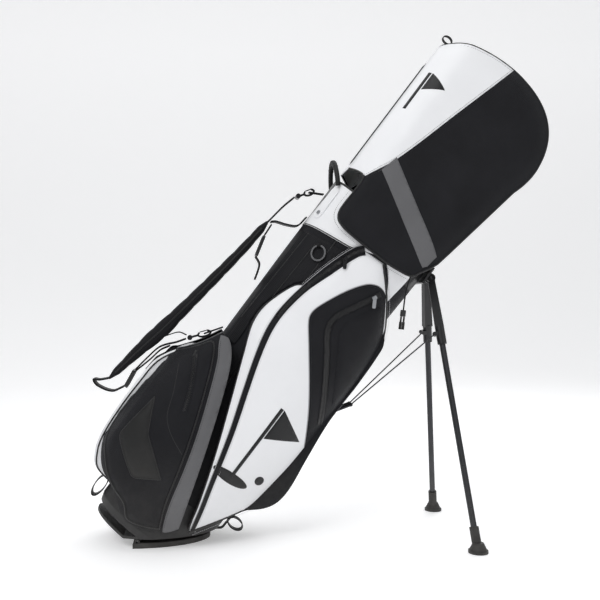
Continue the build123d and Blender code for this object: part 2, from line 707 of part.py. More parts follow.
def hood_form(inset):
    """Filled hood: its side-view outline met with a block that narrows to the top."""
    with BuildPart() as block:
        for w, centre, half_u, half_v in hood_stations:
            with BuildSketch(level(w, centre)):
                RectangleRounded(2 * (half_u - inset), 2 * (half_v - inset), hood_corner - inset)
        loft(ruled=True)
    with BuildPart() as form:
        with BuildSketch(profile(160)):
            with BuildLine():
                Polyline(hood_arcs[-1][-1], hood_hem_spine, (148, 790), (hood_front_u, 790),
                         (hood_front_u, 1378), hood_arcs[0][0])
                for start, middle, end in hood_arcs:
                    ThreePointArc(start, middle, end)
            make_face()
            if inset:
                offset(amount=-inset)
        extrude(amount=320)
        add(block.part, mode=Mode.INTERSECT)
    return form.part


hem_outline = [(-240, 700), (260, 700), (260, 931), (151, 931), (128, 890), (116, 868), (44, 858), (-75, 861),
               (-104, 883), (-105, 990), (-240, 990)]
hood_outer = hood_form(0.0)
hood_inner = hood_form(hood_wall)
hem_cut = slab(hem_outline, 200, -200)
with BuildPart() as hood_shell:
    add(hood_outer)
    add(hood_inner, mode=Mode.SUBTRACT)
    add(hem_cut, mode=Mode.SUBTRACT)

with BuildPart() as hood_zip:
    with BuildSketch(Plane(origin=bag(-144.3, 0, 1010), x_dir=(0, 1, 0), z_dir=bag_u * -1)):
        with Locations((0, -160)):
            Rectangle(16, 310)
    extrude(amount=1.6)

hood_loop = loop_ring(across(-138, 0, 1402), 14, 9, 2.6, 10)

# ---- Hood drawcord with its lock and ends ----
cord_diameter = 3.5
cord_side = -120.8
cord_route = [bag(114, cord_side, 866.6), bag(116.5, cord_side - 1, 857), bag(121, cord_side - 1.5, 844),
              bag(128, cord_side - 1.2, 828), bag(137.5, cord_side, 811), bag(147.3, cord_side + 1.5, 795)]


def route_radii(points):
    """Arc radius at each inner point: 0.45 of the shorter run over the tangent of half the turn."""
    radii = []
    for before, here, after in zip(points, points[1:], points[2:]):
        shorter = min((here - before).length, (after - here).length)
        turn = (here - before).get_angle(after - here)
        radii.append(0.45 * shorter / tan(radians(turn / 2)))
    return radii


cord_radii = route_radii(cord_route)
print("hood cord radii", [round(radius, 1) for radius in cord_radii])
with BuildPart() as hood_cord:
    with BuildLine() as cord_line:
        FilletPolyline(*cord_route, radius=cord_radii)
    with BuildSketch(Plane(origin=cord_route[0], z_dir=cord_route[1] - cord_route[0])):
        Circle(cord_diameter / 2)
    sweep()
cord_length = sum(edge.length for edge in cord_line.edges())
print("hood cord length", round(cord_length, 1), "volume over section",
      round(hood_cord.part.volume / (pi * cord_diameter ** 2 / 4), 1))

lock_top = cord_route[-1]
lock_way = (cord_route[-1] - cord_route[-2]).normalized()
lock_side = Vector(0, 1, 0).cross(lock_way).normalized()
with BuildPart() as cord_lock:
    with BuildSketch(Plane(origin=lock_top, z_dir=lock_way)):
        Ellipse(6.5, 5)
    extrude(amount=15)
    fillet(cord_lock.edges(), 1.5)

with BuildPart() as cord_ends:
    for lead in (-3.4, 3.4):
        start = lock_top + lock_way * 15.5 + lock_side * lead
        with BuildSketch(Plane(origin=start, z_dir=lock_way)):
            Circle(2.2)
        extrude(amount=12)
        with BuildSketch(Plane(origin=start + lock_way * 12, z_dir=lock_way)):
            Circle(3.2)
        extrude(amount=17)

# ---- Zip sliders and pull tabs ----
slider_height, lug_lift = 3.0, 5.2
tab_pin_radius = 1.0


def zip_slider(place, run_way, hang_way):
    """Zip slider at a point of its zip, with the lug that its pull tab turns on."""
    with BuildPart() as slider:
        with BuildSketch(Plane(origin=place, x_dir=run_way, z_dir=(0, -1, 0))):
            RectangleRounded(11, 8, 2)
        extrude(amount=slider_height)
        with BuildSketch(Plane(origin=place + Vector(0, -lug_lift, 0), x_dir=hang_way,
                               z_dir=hang_way.cross(Vector(0, -1, 0)))):
            Circle(2)
            with Locations((0, -1.8)):
                Rectangle(4, 3.6)
            Circle(tab_pin_radius + pin_clearance, mode=Mode.SUBTRACT)
        extrude(amount=1.2, both=True)
    return slider


def zip_pull(place, hang_way, length):
    """Pull tab hanging from its slider, forked round the lug and pinned through it."""
    hinge = place + Vector(0, -lug_lift, 0)
    side_way = hang_way.cross(Vector(0, -1, 0))
    with BuildPart() as pull:
        with BuildSketch(Plane(origin=hinge, x_dir=hang_way, z_dir=(0, -1, 0))):
            with Locations((length / 2 - 1.8, 0)):
                RectangleRounded(length, 8, 2.5)
            Rectangle(8, 3.2, mode=Mode.SUBTRACT)
        extrude(amount=0.9, both=True)
        with BuildSketch(Plane(origin=hinge - side_way * 3, z_dir=side_way)):
            Circle(tab_pin_radius)
        extrude(amount=6)
    return pull


side_zip_at = bag(-31, -130.5, 806)
side_zip_way = way(-32, -7, -100)
side_pull_way = way(17, 0, -29)
front_zip_at = bag(76, -127.5, 776)
front_zip_way = way(-28, -15.6, -52)
front_pull_way = way(16, 0, -27)
pull_length = 25.8
near_side_zip_slider = zip_slider(side_zip_at, side_zip_way, side_pull_way)
near_side_zip_pull = zip_pull(side_zip_at, side_pull_way, pull_length)
near_front_zip_slider = zip_slider(front_zip_at, front_zip_way, front_pull_way)
near_front_zip_pull = zip_pull(front_zip_at, front_pull_way, pull_length)
far_side_zip_slider = far_twin(near_side_zip_slider)
far_side_zip_pull = far_twin(near_side_zip_pull)
far_front_zip_slider = far_twin(near_front_zip_slider)
far_front_zip_pull = far_twin(near_front_zip_pull)

# ---- Write one file for each piece ----
pieces = {
    "base_cup": base_cup, "rocker_foot": rocker_foot, "rocker_pin": rocker_pin,
    "body_strap_panel": body_strap_panel, "body_near_panel": body_near_panel,
    "body_far_panel": body_far_panel, "body_spine_panel": body_spine_panel,
    "cuff_ring": cuff_ring, "divider_top": divider_top, "divider_sleeves": divider_sleeves,
    "stay_rods": stay_rods, "grab_handle": grab_handle, "handle_tabs": handle_tabs,
    "handle_rivets": handle_rivets, "leg_yoke": leg_yoke, "leg_hinge_pins": leg_hinge_pins,
    "near_leg_bracket": near_leg_bracket, "near_leg_tube": near_leg_tube, "near_leg_foot": near_leg_foot,
    "far_leg_bracket": far_leg_bracket, "far_leg_tube": far_leg_tube, "far_leg_foot": far_leg_foot,
    "bow_slider": bow_slider, "push_rod": push_rod, "rod_guides": rod_guides,
    "near_bow_arm": near_bow_arm, "far_bow_arm": far_bow_arm,
    "near_apparel_pocket": near_apparel_pocket, "far_apparel_pocket": far_apparel_pocket,
    "near_lower_pocket": near_lower_pocket, "far_lower_pocket": far_lower_pocket,
    "ball_pocket": ball_pocket, "shoulder_pad": shoulder_pad, "strap_webbing": strap_webbing,
    "strap_adjusters": strap_adjusters, "upper_strap_hook": upper_strap_hook,
    "lower_strap_hook": lower_strap_hook, "upper_hook_gate": upper_hook_gate,
    "lower_hook_gate": lower_hook_gate, "strap_anchor_loops": strap_anchor_loops,
    "towel_ring": towel_ring, "towel_tab": towel_tab, "base_webbing_loop": base_webbing_loop, "umbrella_loop": umbrella_loop,
    "hood_shell": hood_shell, "hood_zip": hood_zip, "hood_loop": hood_loop, "hood_cord": hood_cord,
    "cord_lock": cord_lock, "cord_ends": cord_ends,
    "near_side_zip_slider": near_side_zip_slider, "near_side_zip_pull": near_side_zip_pull,
    "near_front_zip_slider": near_front_zip_slider, "near_front_zip_pull": near_front_zip_pull,
    "far_side_zip_slider": far_side_zip_slider, "far_side_zip_pull": far_side_zip_pull,
    "far_front_zip_slider": far_front_zip_slider, "far_front_zip_pull": far_front_zip_pull,
}
os.makedirs("parts", exist_ok=True)
for label, piece in pieces.items():
    piece.part.label = label
    export_step(piece.part, f"parts/{label}.step")
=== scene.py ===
"""A golf stand bag with its rain hood on, leaning on its rocker foot and two fold-out legs."""
import logging
import math
from dataclasses import dataclass
from enum import Enum
from typing import Callable, Iterable, Optional, Sequence

import bmesh
import bpy
from mathutils import Euler, Matrix, Vector, noise

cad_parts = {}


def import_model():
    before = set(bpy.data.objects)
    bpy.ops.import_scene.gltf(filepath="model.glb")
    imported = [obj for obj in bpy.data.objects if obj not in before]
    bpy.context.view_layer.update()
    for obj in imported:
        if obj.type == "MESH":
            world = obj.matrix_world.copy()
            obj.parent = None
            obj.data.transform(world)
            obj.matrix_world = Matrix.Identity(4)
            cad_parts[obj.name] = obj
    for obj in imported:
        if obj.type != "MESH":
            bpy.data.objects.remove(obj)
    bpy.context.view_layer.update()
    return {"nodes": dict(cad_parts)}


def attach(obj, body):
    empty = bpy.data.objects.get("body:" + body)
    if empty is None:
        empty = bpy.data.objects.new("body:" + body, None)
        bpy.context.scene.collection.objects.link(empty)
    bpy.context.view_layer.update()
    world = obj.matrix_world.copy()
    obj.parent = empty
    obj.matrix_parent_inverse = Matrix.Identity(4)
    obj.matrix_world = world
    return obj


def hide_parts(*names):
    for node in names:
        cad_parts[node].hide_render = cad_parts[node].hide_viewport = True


LOG = logging.getLogger("stand_bag")
MM = 0.001
TINY = 1e-6

Point = tuple[float, float]
Path = list[Vector]
Surface = Callable[[float, float], float]


class Side(Enum):
    """The two long sides of the bag."""

    NEAR = -1
    FAR = 1


# ------------------------------------------------------------------ the leaning frame


@dataclass(frozen=True)
class Lean:
    """The bag's leaning frame: u from strap side to spine, v across, w up the bag, in millimetres."""

    degrees: float = 37.0
    origin_x: float = -418.1
    origin_z: float = -9.217

    def at(self, u: float, v: float, w: float) -> Vector:
        """Point of the model in metres.

        Args:
            u: Distance towards the spine side.
            v: Distance across the bag.
            w: Distance up the bag.

        Returns:
            The point in the CAD frame.
        """
        s, c = math.sin(math.radians(self.degrees)), math.cos(math.radians(self.degrees))
        return Vector((self.origin_x + u * c + w * s, v, self.origin_z - u * s + w * c)) * MM

    def way(self, u: float, v: float, w: float) -> Vector:
        """Unit direction of the model for a direction of the bag."""
        return (self.at(u, v, w) - self.at(0, 0, 0)).normalized()


BAG = Lean()


def ramp(x: float, stops: Sequence[Point]) -> float:
    """Piecewise straight function.

    Args:
        x: Where to read it.
        stops: (x, value) pairs in rising x.

    Returns:
        The value at x, held beyond the ends.
    """
    if x <= stops[0][0]:
        return stops[0][1]
    for (x0, y0), (x1, y1) in zip(stops, stops[1:]):
        if x <= x1:
            return y0 + (y1 - y0) * (x - x0) / (x1 - x0)
    return stops[-1][1]


def smooth_ramp(x: float, stops: Sequence[Point], reach: float) -> float:
    """The ramp averaged over a reach each way, so that its corners are soft."""
    return sum(ramp(x + reach * k / 2, stops) for k in (-2, -1, 0, 1, 2)) / 5


def tube(w: float) -> tuple[float, float, float]:
    """Centre u and half widths of the body tube at height w."""
    share = (w - 60.0) / 840.0
    return -13.5 + 17.5 * share, 132.5 + 20.5 * share, 104.0 + 12.0 * share


def ripple(u: float, w: float, size: float, depth: float) -> float:
    """Soft unevenness of stretched cloth.

    Args:
        u: Place across.
        w: Place along.
        size: Wave length in millimetres.
        depth: Largest height in millimetres.

    Returns:
        Height to add to the cloth.
    """
    return depth * noise.noise(Vector((u / size, w / (1.7 * size), size)))


def tube_skin(u: float, w: float) -> float:
    """Half width of the body tube at u, w."""
    centre, half_u, half_v = tube(w)
    across = min(1.0, abs(u - centre) / half_u)
    return half_v * math.sqrt(max(0.0, 1 - across * across))


def apparel_skin(u: float, w: float) -> float:
    """Outer face of the big side pocket.

    Args:
        u: Distance towards the spine side.
        w: Distance up the bag.

    Returns:
        Half width of the bag there.
    """
    grow = smooth_ramp(w, ((90, 26), (330, 46), (600, 48), (860, 9)), 50)
    centre, half_u, half_v = tube(w)
    across = min(1.0, abs(u - centre) / (half_u + grow))
    full = (half_v + grow) * math.sqrt(max(0.0, 1 - across * across))
    return full + ripple(u, w, 70, 1.6) + ripple(u, w, 23, 0.5)


def lower_skin(u: float, w: float) -> float:
    """Outer face of the lower pocket, a block with rounded upright corners.

    Args:
        u: Distance towards the spine side.
        w: Distance up the bag.

    Returns:
        Half width of the bag there.
    """
    half_u = smooth_ramp(w, ((30, 205), (250, 222), (520, 190)), 30)
    half_v = smooth_ramp(w, ((30, 128), (250, 148), (520, 142)), 30)
    corner = 84.0
    past = max(0.0, abs(u - tube(w)[0]) - (half_u - corner))
    round_off = corner - math.sqrt(max(0.0, corner ** 2 - min(corner, past) ** 2))
    return half_v - round_off + ripple(u, w, 60, 2.0) + ripple(u, w, 21, 0.7)


def smooth_path(points: Sequence[Point], step: float, closed: bool = False, taut: float = 0.5) -> list[Point]:
    """Evenly spaced points on a smooth curve through the given ones.

    Args:
        points: Points that the curve passes through; a repeated point is a sharp corner.
        step: Distance between the returned points.
        closed: Whether the curve closes on itself.
        taut: Catmull-Rom tension.

    Returns:
        The curve's points.
    """
    count = len(points)
    out: list[Point] = []
    for i in range(count if closed else count - 1):
        p1, p2 = points[i], points[(i + 1) % count]
        if p1 == p2:
            continue
        p0 = points[i - 1] if closed or i else p1
        p3 = points[(i + 2) % count] if closed or i + 2 < count else p2
        span = math.dist(p1, p2)
        before, after = math.dist(p0, p1), math.dist(p2, p3)
        slopes = [(taut * (p2[k] - p0[k]) * 2 * span / (span + before) if before > TINY else p2[k] - p1[k],
                   taut * (p3[k] - p1[k]) * 2 * span / (span + after) if after > TINY else p2[k] - p1[k])
                  for k in (0, 1)]
        steps = max(1, round(span / step))
        for n in range(steps):
            t = n / steps
            h = (2 * t ** 3 - 3 * t * t + 1, t ** 3 - 2 * t * t + t, -2 * t ** 3 + 3 * t * t, t ** 3 - t * t)
            out.append(tuple(h[0] * p1[k] + h[1] * slopes[k][0] + h[2] * p2[k] + h[3] * slopes[k][1]
                             for k in (0, 1)))
    if not closed:
        out.append(points[-1])
    return out


def gap_to(u: float, w: float, path: Sequence[Point]) -> float:
    """Shortest distance from a point to a path's runs.

    Args:
        u: The point's place across.
        w: The point's place along.
        path: Points of the path.

    Returns:
        The distance in millimetres.
    """
    best = math.inf
    for (a, b), (c, d) in zip(path, path[1:]):
        run = (c - a) ** 2 + (d - b) ** 2
        t = 0.0 if run < TINY ** 2 else max(0.0, min(1.0, ((u - a) * (c - a) + (w - b) * (d - b)) / run))
        best = min(best, math.hypot(u - a - t * (c - a), w - b - t * (d - b)))
    return best


def beside(path: Sequence[Point], reach: Callable[[float], float]) -> list[Point]:
    """A path moved sideways to its right.

    Args:
        path: Points of the path.
        reach: How far it moves, for a height w.

    Returns:
        The moved points.
    """
    out = []
    for i, (u, w) in enumerate(path):
        a, b = path[max(0, i - 1)], path[min(len(path) - 1, i + 1)]
        run = math.dist(a, b) or 1.0
        out.append((u + reach(w) * (b[1] - a[1]) / run, w - reach(w) * (b[0] - a[0]) / run))
    return out


# ------------------------------------------------------------------ finishes


def group(name: str, sockets: Sequence[tuple[str, str, float]], outputs: Sequence[str]) -> bpy.types.NodeTree:
    """New empty shader node group.

    Args:
        name: The group's name.
        sockets: (name, socket type, default) of each input.
        outputs: Names of the value outputs.

    Returns:
        The node tree.
    """
    tree = bpy.data.node_groups.new(name, "ShaderNodeTree")
    for label, kind, default in sockets:
        made = tree.interface.new_socket(label, in_out="INPUT", socket_type=kind)
        if kind == "NodeSocketFloat":
            made.default_value = default
    for label in outputs:
        tree.interface.new_socket(label, in_out="OUTPUT", socket_type="NodeSocketFloat")
    tree.nodes.new("NodeGroupInput")
    tree.nodes.new("NodeGroupOutput")
    return tree


def node(tree: bpy.types.NodeTree, kind: str, **inputs: object) -> bpy.types.Node:
    """New node with its sockets set or linked.

    Args:
        tree: Where to add it.
        kind: Node type without the ShaderNode prefix.
        inputs: Socket names with underscores for spaces; a socket value is linked, others are set.
            A name that starts with set_ is an attribute of the node.

    Returns:
        The node.
    """
    made = tree.nodes.new("ShaderNode" + kind)
    for key, value in inputs.items():
        if key.startswith("set_"):
            setattr(made, key[4:], value)
    for key, value in inputs.items():
        if key.startswith("set_"):
            continue
        place = int(key[1:]) if key[0] == "i" and key[1:].isdigit() else key.replace("_", " ")
        if isinstance(value, bpy.types.NodeSocket):
            tree.links.new(value, made.inputs[place])
        else:
            made.inputs[place].default_value = value
    return made


class Effects:
    """The node groups that several materials share."""

    def __init__(self) -> None:
        """Builds each group once."""
        self.weave = self._weave()
        self.grain = self._grain()
        self.wear = self._wear()

    @staticmethod
    def _ends(tree: bpy.types.NodeTree) -> tuple[bpy.types.Node, bpy.types.Node]:
        """The group's input and output nodes."""
        return tree.nodes["Group Input"], tree.nodes["Group Output"]

    def _weave(self) -> bpy.types.NodeTree:
        """Crossing threads, with a slow change of tone between yarns.

        Returns:
            The node group.
        """
        tree = group("woven_threads", [("Vector", "NodeSocketVector", 0), ("Threads", "NodeSocketFloat", 260.0)],
                     ["Height", "Tone"])
        start, end = self._ends(tree)
        waves = [node(tree, "TexWave", set_bands_direction=way, Vector=start.outputs["Vector"],
                      Scale=start.outputs["Threads"], Distortion=0.6, Detail=1.0) for way in ("X", "Z", "Y")]
        both = node(tree, "Math", set_operation="MAXIMUM", i0=waves[0].outputs["Fac"], i1=waves[1].outputs["Fac"])
        all_three = node(tree, "Math", set_operation="MULTIPLY_ADD", i0=waves[2].outputs["Fac"], i1=0.35,
                         i2=both.outputs[0])
        slub = node(tree, "TexNoise", Vector=start.outputs["Vector"], Scale=420.0, Detail=2.0)
        patchy = node(tree, "TexNoise", Vector=start.outputs["Vector"], Scale=14.0, Detail=4.0)
        tone = node(tree, "Math", set_operation="MULTIPLY_ADD", i0=slub.outputs["Fac"], i1=0.45,
                    i2=patchy.outputs["Fac"])
        tree.links.new(all_three.outputs[0], end.inputs["Height"])
        tree.links.new(tone.outputs[0], end.inputs["Tone"])
        return tree

    def _grain(self) -> bpy.types.NodeTree:
        """Fine pebbled grain of moulded plastic or rubber.

        Returns:
            The node group.
        """
        tree = group("moulded_grain", [("Vector", "NodeSocketVector", 0), ("Size", "NodeSocketFloat", 900.0)],
                     ["Height", "Tone"])
        start, end = self._ends(tree)
        cells = node(tree, "TexVoronoi", Vector=start.outputs["Vector"], Scale=start.outputs["Size"])
        cloud = node(tree, "TexNoise", Vector=start.outputs["Vector"], Scale=30.0, Detail=5.0)
        tree.links.new(cells.outputs["Distance"], end.inputs["Height"])
        tree.links.new(cloud.outputs["Fac"], end.inputs["Tone"])
        return tree

    def _wear(self) -> bpy.types.NodeTree:
        """Dust that gathers low on the bag, and rubbed streaks.

        Returns:
            The node group.
        """
        tree = group("dust_and_rub", [("Vector", "NodeSocketVector", 0), ("Floor", "NodeSocketFloat", 0.25)],
                     ["Dust", "Rub"])
        start, end = self._ends(tree)
        height = node(tree, "SeparateXYZ", Vector=start.outputs["Vector"])
        low = node(tree, "MapRange", Value=height.outputs["Z"], From_Min=start.outputs["Floor"], From_Max=0.0,
                   To_Min=0.0, To_Max=1.0)
        cloud = node(tree, "TexNoise", Vector=start.outputs["Vector"], Scale=38.0, Detail=6.0, Roughness=0.65)
        dust = node(tree, "Math", set_operation="MULTIPLY", i0=low.outputs["Result"], i1=cloud.outputs["Fac"])
        stretch = node(tree, "Mapping", Vector=start.outputs["Vector"])
        stretch.inputs["Scale"].default_value = (60.0, 60.0, 320.0)
        streak = node(tree, "TexNoise", Vector=stretch.outputs["Vector"], Scale=1.0, Detail=3.0)
        rub = node(tree, "MapRange", Value=streak.outputs["Fac"], From_Min=0.62, From_Max=0.8)
        tree.links.new(dust.outputs[0], end.inputs["Dust"])
        tree.links.new(rub.outputs["Result"], end.inputs["Rub"])
        return tree


Colour = tuple[float, float, float]


@dataclass(frozen=True)
class Finish:
    """One material of the bag, built on a shared pattern."""

    name: str
    colour: Colour
    pattern: str = "weave"
    density: float = 260.0
    height: float = 0.25
    tone: float = 0.18
    roughness: float = 0.75
    metal: float = 0.0
    coat: float = 0.0
    sheen: float = 0.0
    gloss: float = 0.3
    dusty: float = 0.12
    turned: bool = True

    def build(self, effects: Effects) -> bpy.types.Material:
        """Makes the material.

        Args:
            effects: The shared node groups.

        Returns:
            The new material.
        """
        made = bpy.data.materials.new(self.name)
        made.use_nodes = True
        tree = made.node_tree
        shader = tree.nodes["Principled BSDF"]
        place = node(tree, "TexCoord")
        lean = node(tree, "Mapping", Vector=place.outputs["Object"])
        if self.turned:
            lean.inputs["Rotation"].default_value = Euler((0.0, math.radians(-BAG.degrees), 0.0))
        source = effects.weave if self.pattern == "weave" else effects.grain
        pattern = node(tree, "Group", set_node_tree=source, Vector=lean.outputs["Vector"])
        pattern.inputs[1].default_value = self.density
        wear = node(tree, "Group", set_node_tree=effects.wear, Vector=place.outputs["Object"])
        dark = tuple(c * (1 - self.tone) for c in self.colour) + (1.0,)
        light = tuple(min(1.0, c * (1 + self.tone) + 0.004) for c in self.colour) + (1.0,)
        tone = node(tree, "Mix", set_data_type="RGBA")
        tone.inputs[6].default_value, tone.inputs[7].default_value = dark, light
        tree.links.new(pattern.outputs["Tone"], tone.inputs[0])
        dust = node(tree, "Mix", set_data_type="RGBA")
        dust.inputs[7].default_value = (0.42, 0.40, 0.37, 1.0)
        amount = node(tree, "Math", set_operation="MULTIPLY", i0=wear.outputs["Dust"], i1=self.dusty)
        tree.links.new(amount.outputs[0], dust.inputs[0])
        tree.links.new(tone.outputs[2], dust.inputs[6])
        tree.links.new(dust.outputs[2], shader.inputs["Base Color"])
        rough = node(tree, "Math", set_operation="MULTIPLY_ADD", i0=wear.outputs["Rub"], i1=-0.12,
                     i2=self.roughness)
        tree.links.new(rough.outputs[0], shader.inputs["Roughness"])
        bump = node(tree, "Bump", Height=pattern.outputs["Height"], Strength=self.height, Distance=0.0006)
        tree.links.new(bump.outputs["Normal"], shader.inputs["Normal"])
        shader.inputs["Metallic"].default_value = self.metal
        shader.inputs["Specular IOR Level"].default_value = self.gloss
        shader.inputs["Coat Weight"].default_value = self.coat
        shader.inputs["Sheen Weight"].default_value = self.sheen
        return made


class Palette:
    """Every finish of the bag by its plain name."""

    FINISHES = (
        Finish("white_cloth", (0.83, 0.835, 0.85), density=230, height=0.18, tone=0.03, roughness=0.55, gloss=0.35,
               dusty=0.25),
        Finish("black_cloth", (0.0068, 0.0069, 0.0088), density=230, height=0.6, tone=0.4, roughness=0.5,
               gloss=0.14),
        Finish("grey_cloth", (0.115, 0.115, 0.12), density=230, height=0.35, tone=0.14, roughness=0.6),
        Finish("black_mesh", (0.004, 0.004, 0.0055), density=95, height=1.0, tone=0.5, roughness=0.6, gloss=0.2),
        Finish("black_binding", (0.003, 0.003, 0.0035), density=320, height=0.4, tone=0.2, roughness=0.34, gloss=0.45),
        Finish("grey_piping", (0.30, 0.30, 0.31), density=320, height=0.3, tone=0.1, roughness=0.5),
        Finish("black_webbing", (0.0045, 0.0045, 0.005), density=150, height=0.9, tone=0.3, roughness=0.5, gloss=0.2),
        Finish("thread_black", (0.020, 0.020, 0.022), density=500, height=0.2, tone=0.2, roughness=0.5),
        Finish("thread_white", (0.62, 0.62, 0.64), density=500, height=0.2, tone=0.1, roughness=0.6),
        Finish("print_black", (0.008, 0.008, 0.009), density=230, height=0.12, tone=0.15, roughness=0.4),
        Finish("satin_plastic", (0.008, 0.008, 0.009), "grain", 1100, 0.10, 0.2, 0.36, coat=0.1, gloss=0.45),
        Finish("rough_plastic", (0.010, 0.010, 0.011), "grain", 800, 0.22, 0.25, 0.5, gloss=0.4),
        Finish("black_rubber", (0.009, 0.009, 0.009), "grain", 650, 0.3, 0.25, 0.6, dusty=0.2),
        Finish("black_metal", (0.020, 0.020, 0.022), "grain", 1500, 0.05, 0.15, 0.28, metal=0.6, gloss=0.5),
        Finish("leg_metal", (0.055, 0.056, 0.060), "grain", 1600, 0.05, 0.15, 0.32, metal=0.85, gloss=0.5),
        Finish("bright_steel", (0.60, 0.61, 0.63), "grain", 1600, 0.06, 0.08, 0.26, metal=1.0, gloss=0.5),
        Finish("dull_silver", (0.42, 0.43, 0.45), "grain", 1400, 0.08, 0.08, 0.36, metal=0.9, gloss=0.5),
        Finish("glass_fibre", (0.62, 0.60, 0.52), "grain", 900, 0.08, 0.08, 0.4),
    )

    def __init__(self) -> None:
        """Builds the shared effects and every material."""
        effects = Effects()
        self.materials = {finish.name: finish.build(effects) for finish in self.FINISHES}

    def dress(self, thing: bpy.types.Object, name: str) -> None:
        """Gives a piece one finish in place of what it has.

        Args:
            thing: The piece.
            name: Name of the finish.
        """
        if not thing.data.materials:
            thing.data.materials.append(self.materials[name])
        for slot in thing.material_slots:
            slot.material = self.materials[name]


# ------------------------------------------------------------------ making pieces


class Maker:
    """Turns sewing outlines, ribbons and tubes into meshes and puts them on the bag."""

    def __init__(self, palette: Palette) -> None:
        """Keeps the finishes that pieces are dressed in."""
        self.palette = palette

    def finish_mesh(self, name: str, form: bmesh.types.BMesh, finish: str, body: str = "bag",
                    thickness: float = 0.0, subdivide: int = 0, bevel: float = 0.0, smooth: bool = True,
                    offset: float = 1.0) -> bpy.types.Object:
        """Makes an object of a bmesh, dresses it and lets it ride.

        Args:
            name: Piece name.
            form: The bmesh, in metres; it is freed.
            finish: Name of its finish.
            body: CAD body that it rides on.
            thickness: Wall thickness in millimetres, or 0 for none.
            subdivide: Levels of subdivision.
            bevel: Edge bevel in millimetres, or 0 for none.
            smooth: Whether faces are shaded smooth.
            offset: Side of the face that the wall is grown to.

        Returns:
            The new object.
        """
        mesh = bpy.data.meshes.new(name)
        form.to_mesh(mesh)
        form.free()
        mesh.polygons.foreach_set("use_smooth", [smooth] * len(mesh.polygons))
        thing = bpy.data.objects.new(name, mesh)
        bpy.context.scene.collection.objects.link(thing)
        if thickness:
            wall = thing.modifiers.new("wall", "SOLIDIFY")
            wall.thickness, wall.offset = thickness * MM, offset
        if bevel:
            edge = thing.modifiers.new("edge", "BEVEL")
            edge.width, edge.segments, edge.limit_method = bevel * MM, 2, "ANGLE"
        if subdivide:
            fine = thing.modifiers.new("fine", "SUBSURF")
            fine.levels = fine.render_levels = subdivide
        self.palette.dress(thing, finish)
        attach(thing, body)
        LOG.info("%s: %d faces, %s, rides on %s", name, len(mesh.polygons), finish, body)
        return thing

    @staticmethod
    def cut_outline(outline: Sequence[Point], cell: float) -> bmesh.types.BMesh:
        """Flat sheet of an outline, cut into cells.

        Args:
            outline: Closed outline of u, w points in millimetres.
            cell: Size of the cells in millimetres.

        Returns:
            A bmesh in the plane, with u as x and w as y.
        """
        form = bmesh.new()
        form.faces.new([form.verts.new((u, w, 0.0)) for u, w in outline])
        for axis in (0, 1):
            low = min(p[axis] for p in outline)
            high = max(p[axis] for p in outline)
            normal = Vector((1, 0, 0)) if axis == 0 else Vector((0, 1, 0))
            for k in range(1, math.ceil((high - low) / cell)):
                bmesh.ops.bisect_plane(form, geom=form.verts[:] + form.edges[:] + form.faces[:], dist=0.05,
                                       plane_co=normal * (low + k * cell), plane_no=normal)
        bmesh.ops.remove_doubles(form, verts=form.verts, dist=0.05)
        return form

    def patch(self, name: str, outline: Sequence[Point], surface: Surface, finish: str, side: Side,
              lift: float = 0.6, thickness: float = 1.0, cell: float = 8.0, crown: float = 0.0,
              crown_reach: float = 20.0, wall_to: Optional[Surface] = None, wall_finish: str = "",
              body: str = "bag") -> bpy.types.Object:
        """Sewn panel that follows a surface of the bag.

        Args:
            name: Piece name.
            outline: Closed outline, in u and w.
            surface: Half width of the bag at u, w.
            finish: Name of the finish.
            side: Side of the bag.
            lift: How far it stands off the surface.
            thickness: Cloth thickness.
            cell: Size of its cells.
            crown: How far the middle stands higher than the edge.
            crown_reach: Distance from the edge over which it rises.
            wall_to: Where a side wall ends, or None for no wall.
            wall_finish: Name of the wall's finish where it has its own.
            body: CAD body that it rides on.

        Returns:
            The new object.
        """
        form = self.cut_outline(outline, cell)
        ring = list(outline) + [outline[0]]
        depth = {}
        for vert in form.verts:
            u, w = vert.co.x, vert.co.y
            inward = min(1.0, gap_to(u, w, ring) / crown_reach) if crown else 0.0
            depth[vert] = surface(u, w) + lift - crown * (1 - inward) ** 2
        if wall_to is not None:
            rim = [edge for edge in form.edges if edge.is_boundary]
            made = bmesh.ops.extrude_edge_only(form, edges=rim)["geom"]
            for part in made:
                if isinstance(part, bmesh.types.BMVert):
                    depth[part] = wall_to(part.co.x, part.co.y)
                elif isinstance(part, bmesh.types.BMFace):
                    part.material_index = 1 if wall_finish else 0
        for vert in form.verts:
            u, w = vert.co.x, vert.co.y
            vert.co = BAG.at(u, side.value * depth[vert], w)
        bmesh.ops.recalc_face_normals(form, faces=form.faces)
        middle = sum((face.normal.y * face.calc_area() for face in form.faces), 0.0)
        if middle * side.value < 0:
            bmesh.ops.reverse_faces(form, faces=form.faces)
        panel = self.finish_mesh(name, form, finish, body, thickness)
        if wall_finish:
            panel.data.materials.append(self.palette.materials[wall_finish])
        return panel

    def line(self, path: Sequence[Point], surface: Surface, side: Side, lift: float) -> Path:
        """Points of a path laid on a surface of the bag, in metres."""
        return [BAG.at(u, side.value * (surface(u, w) + lift), w) for u, w in path]

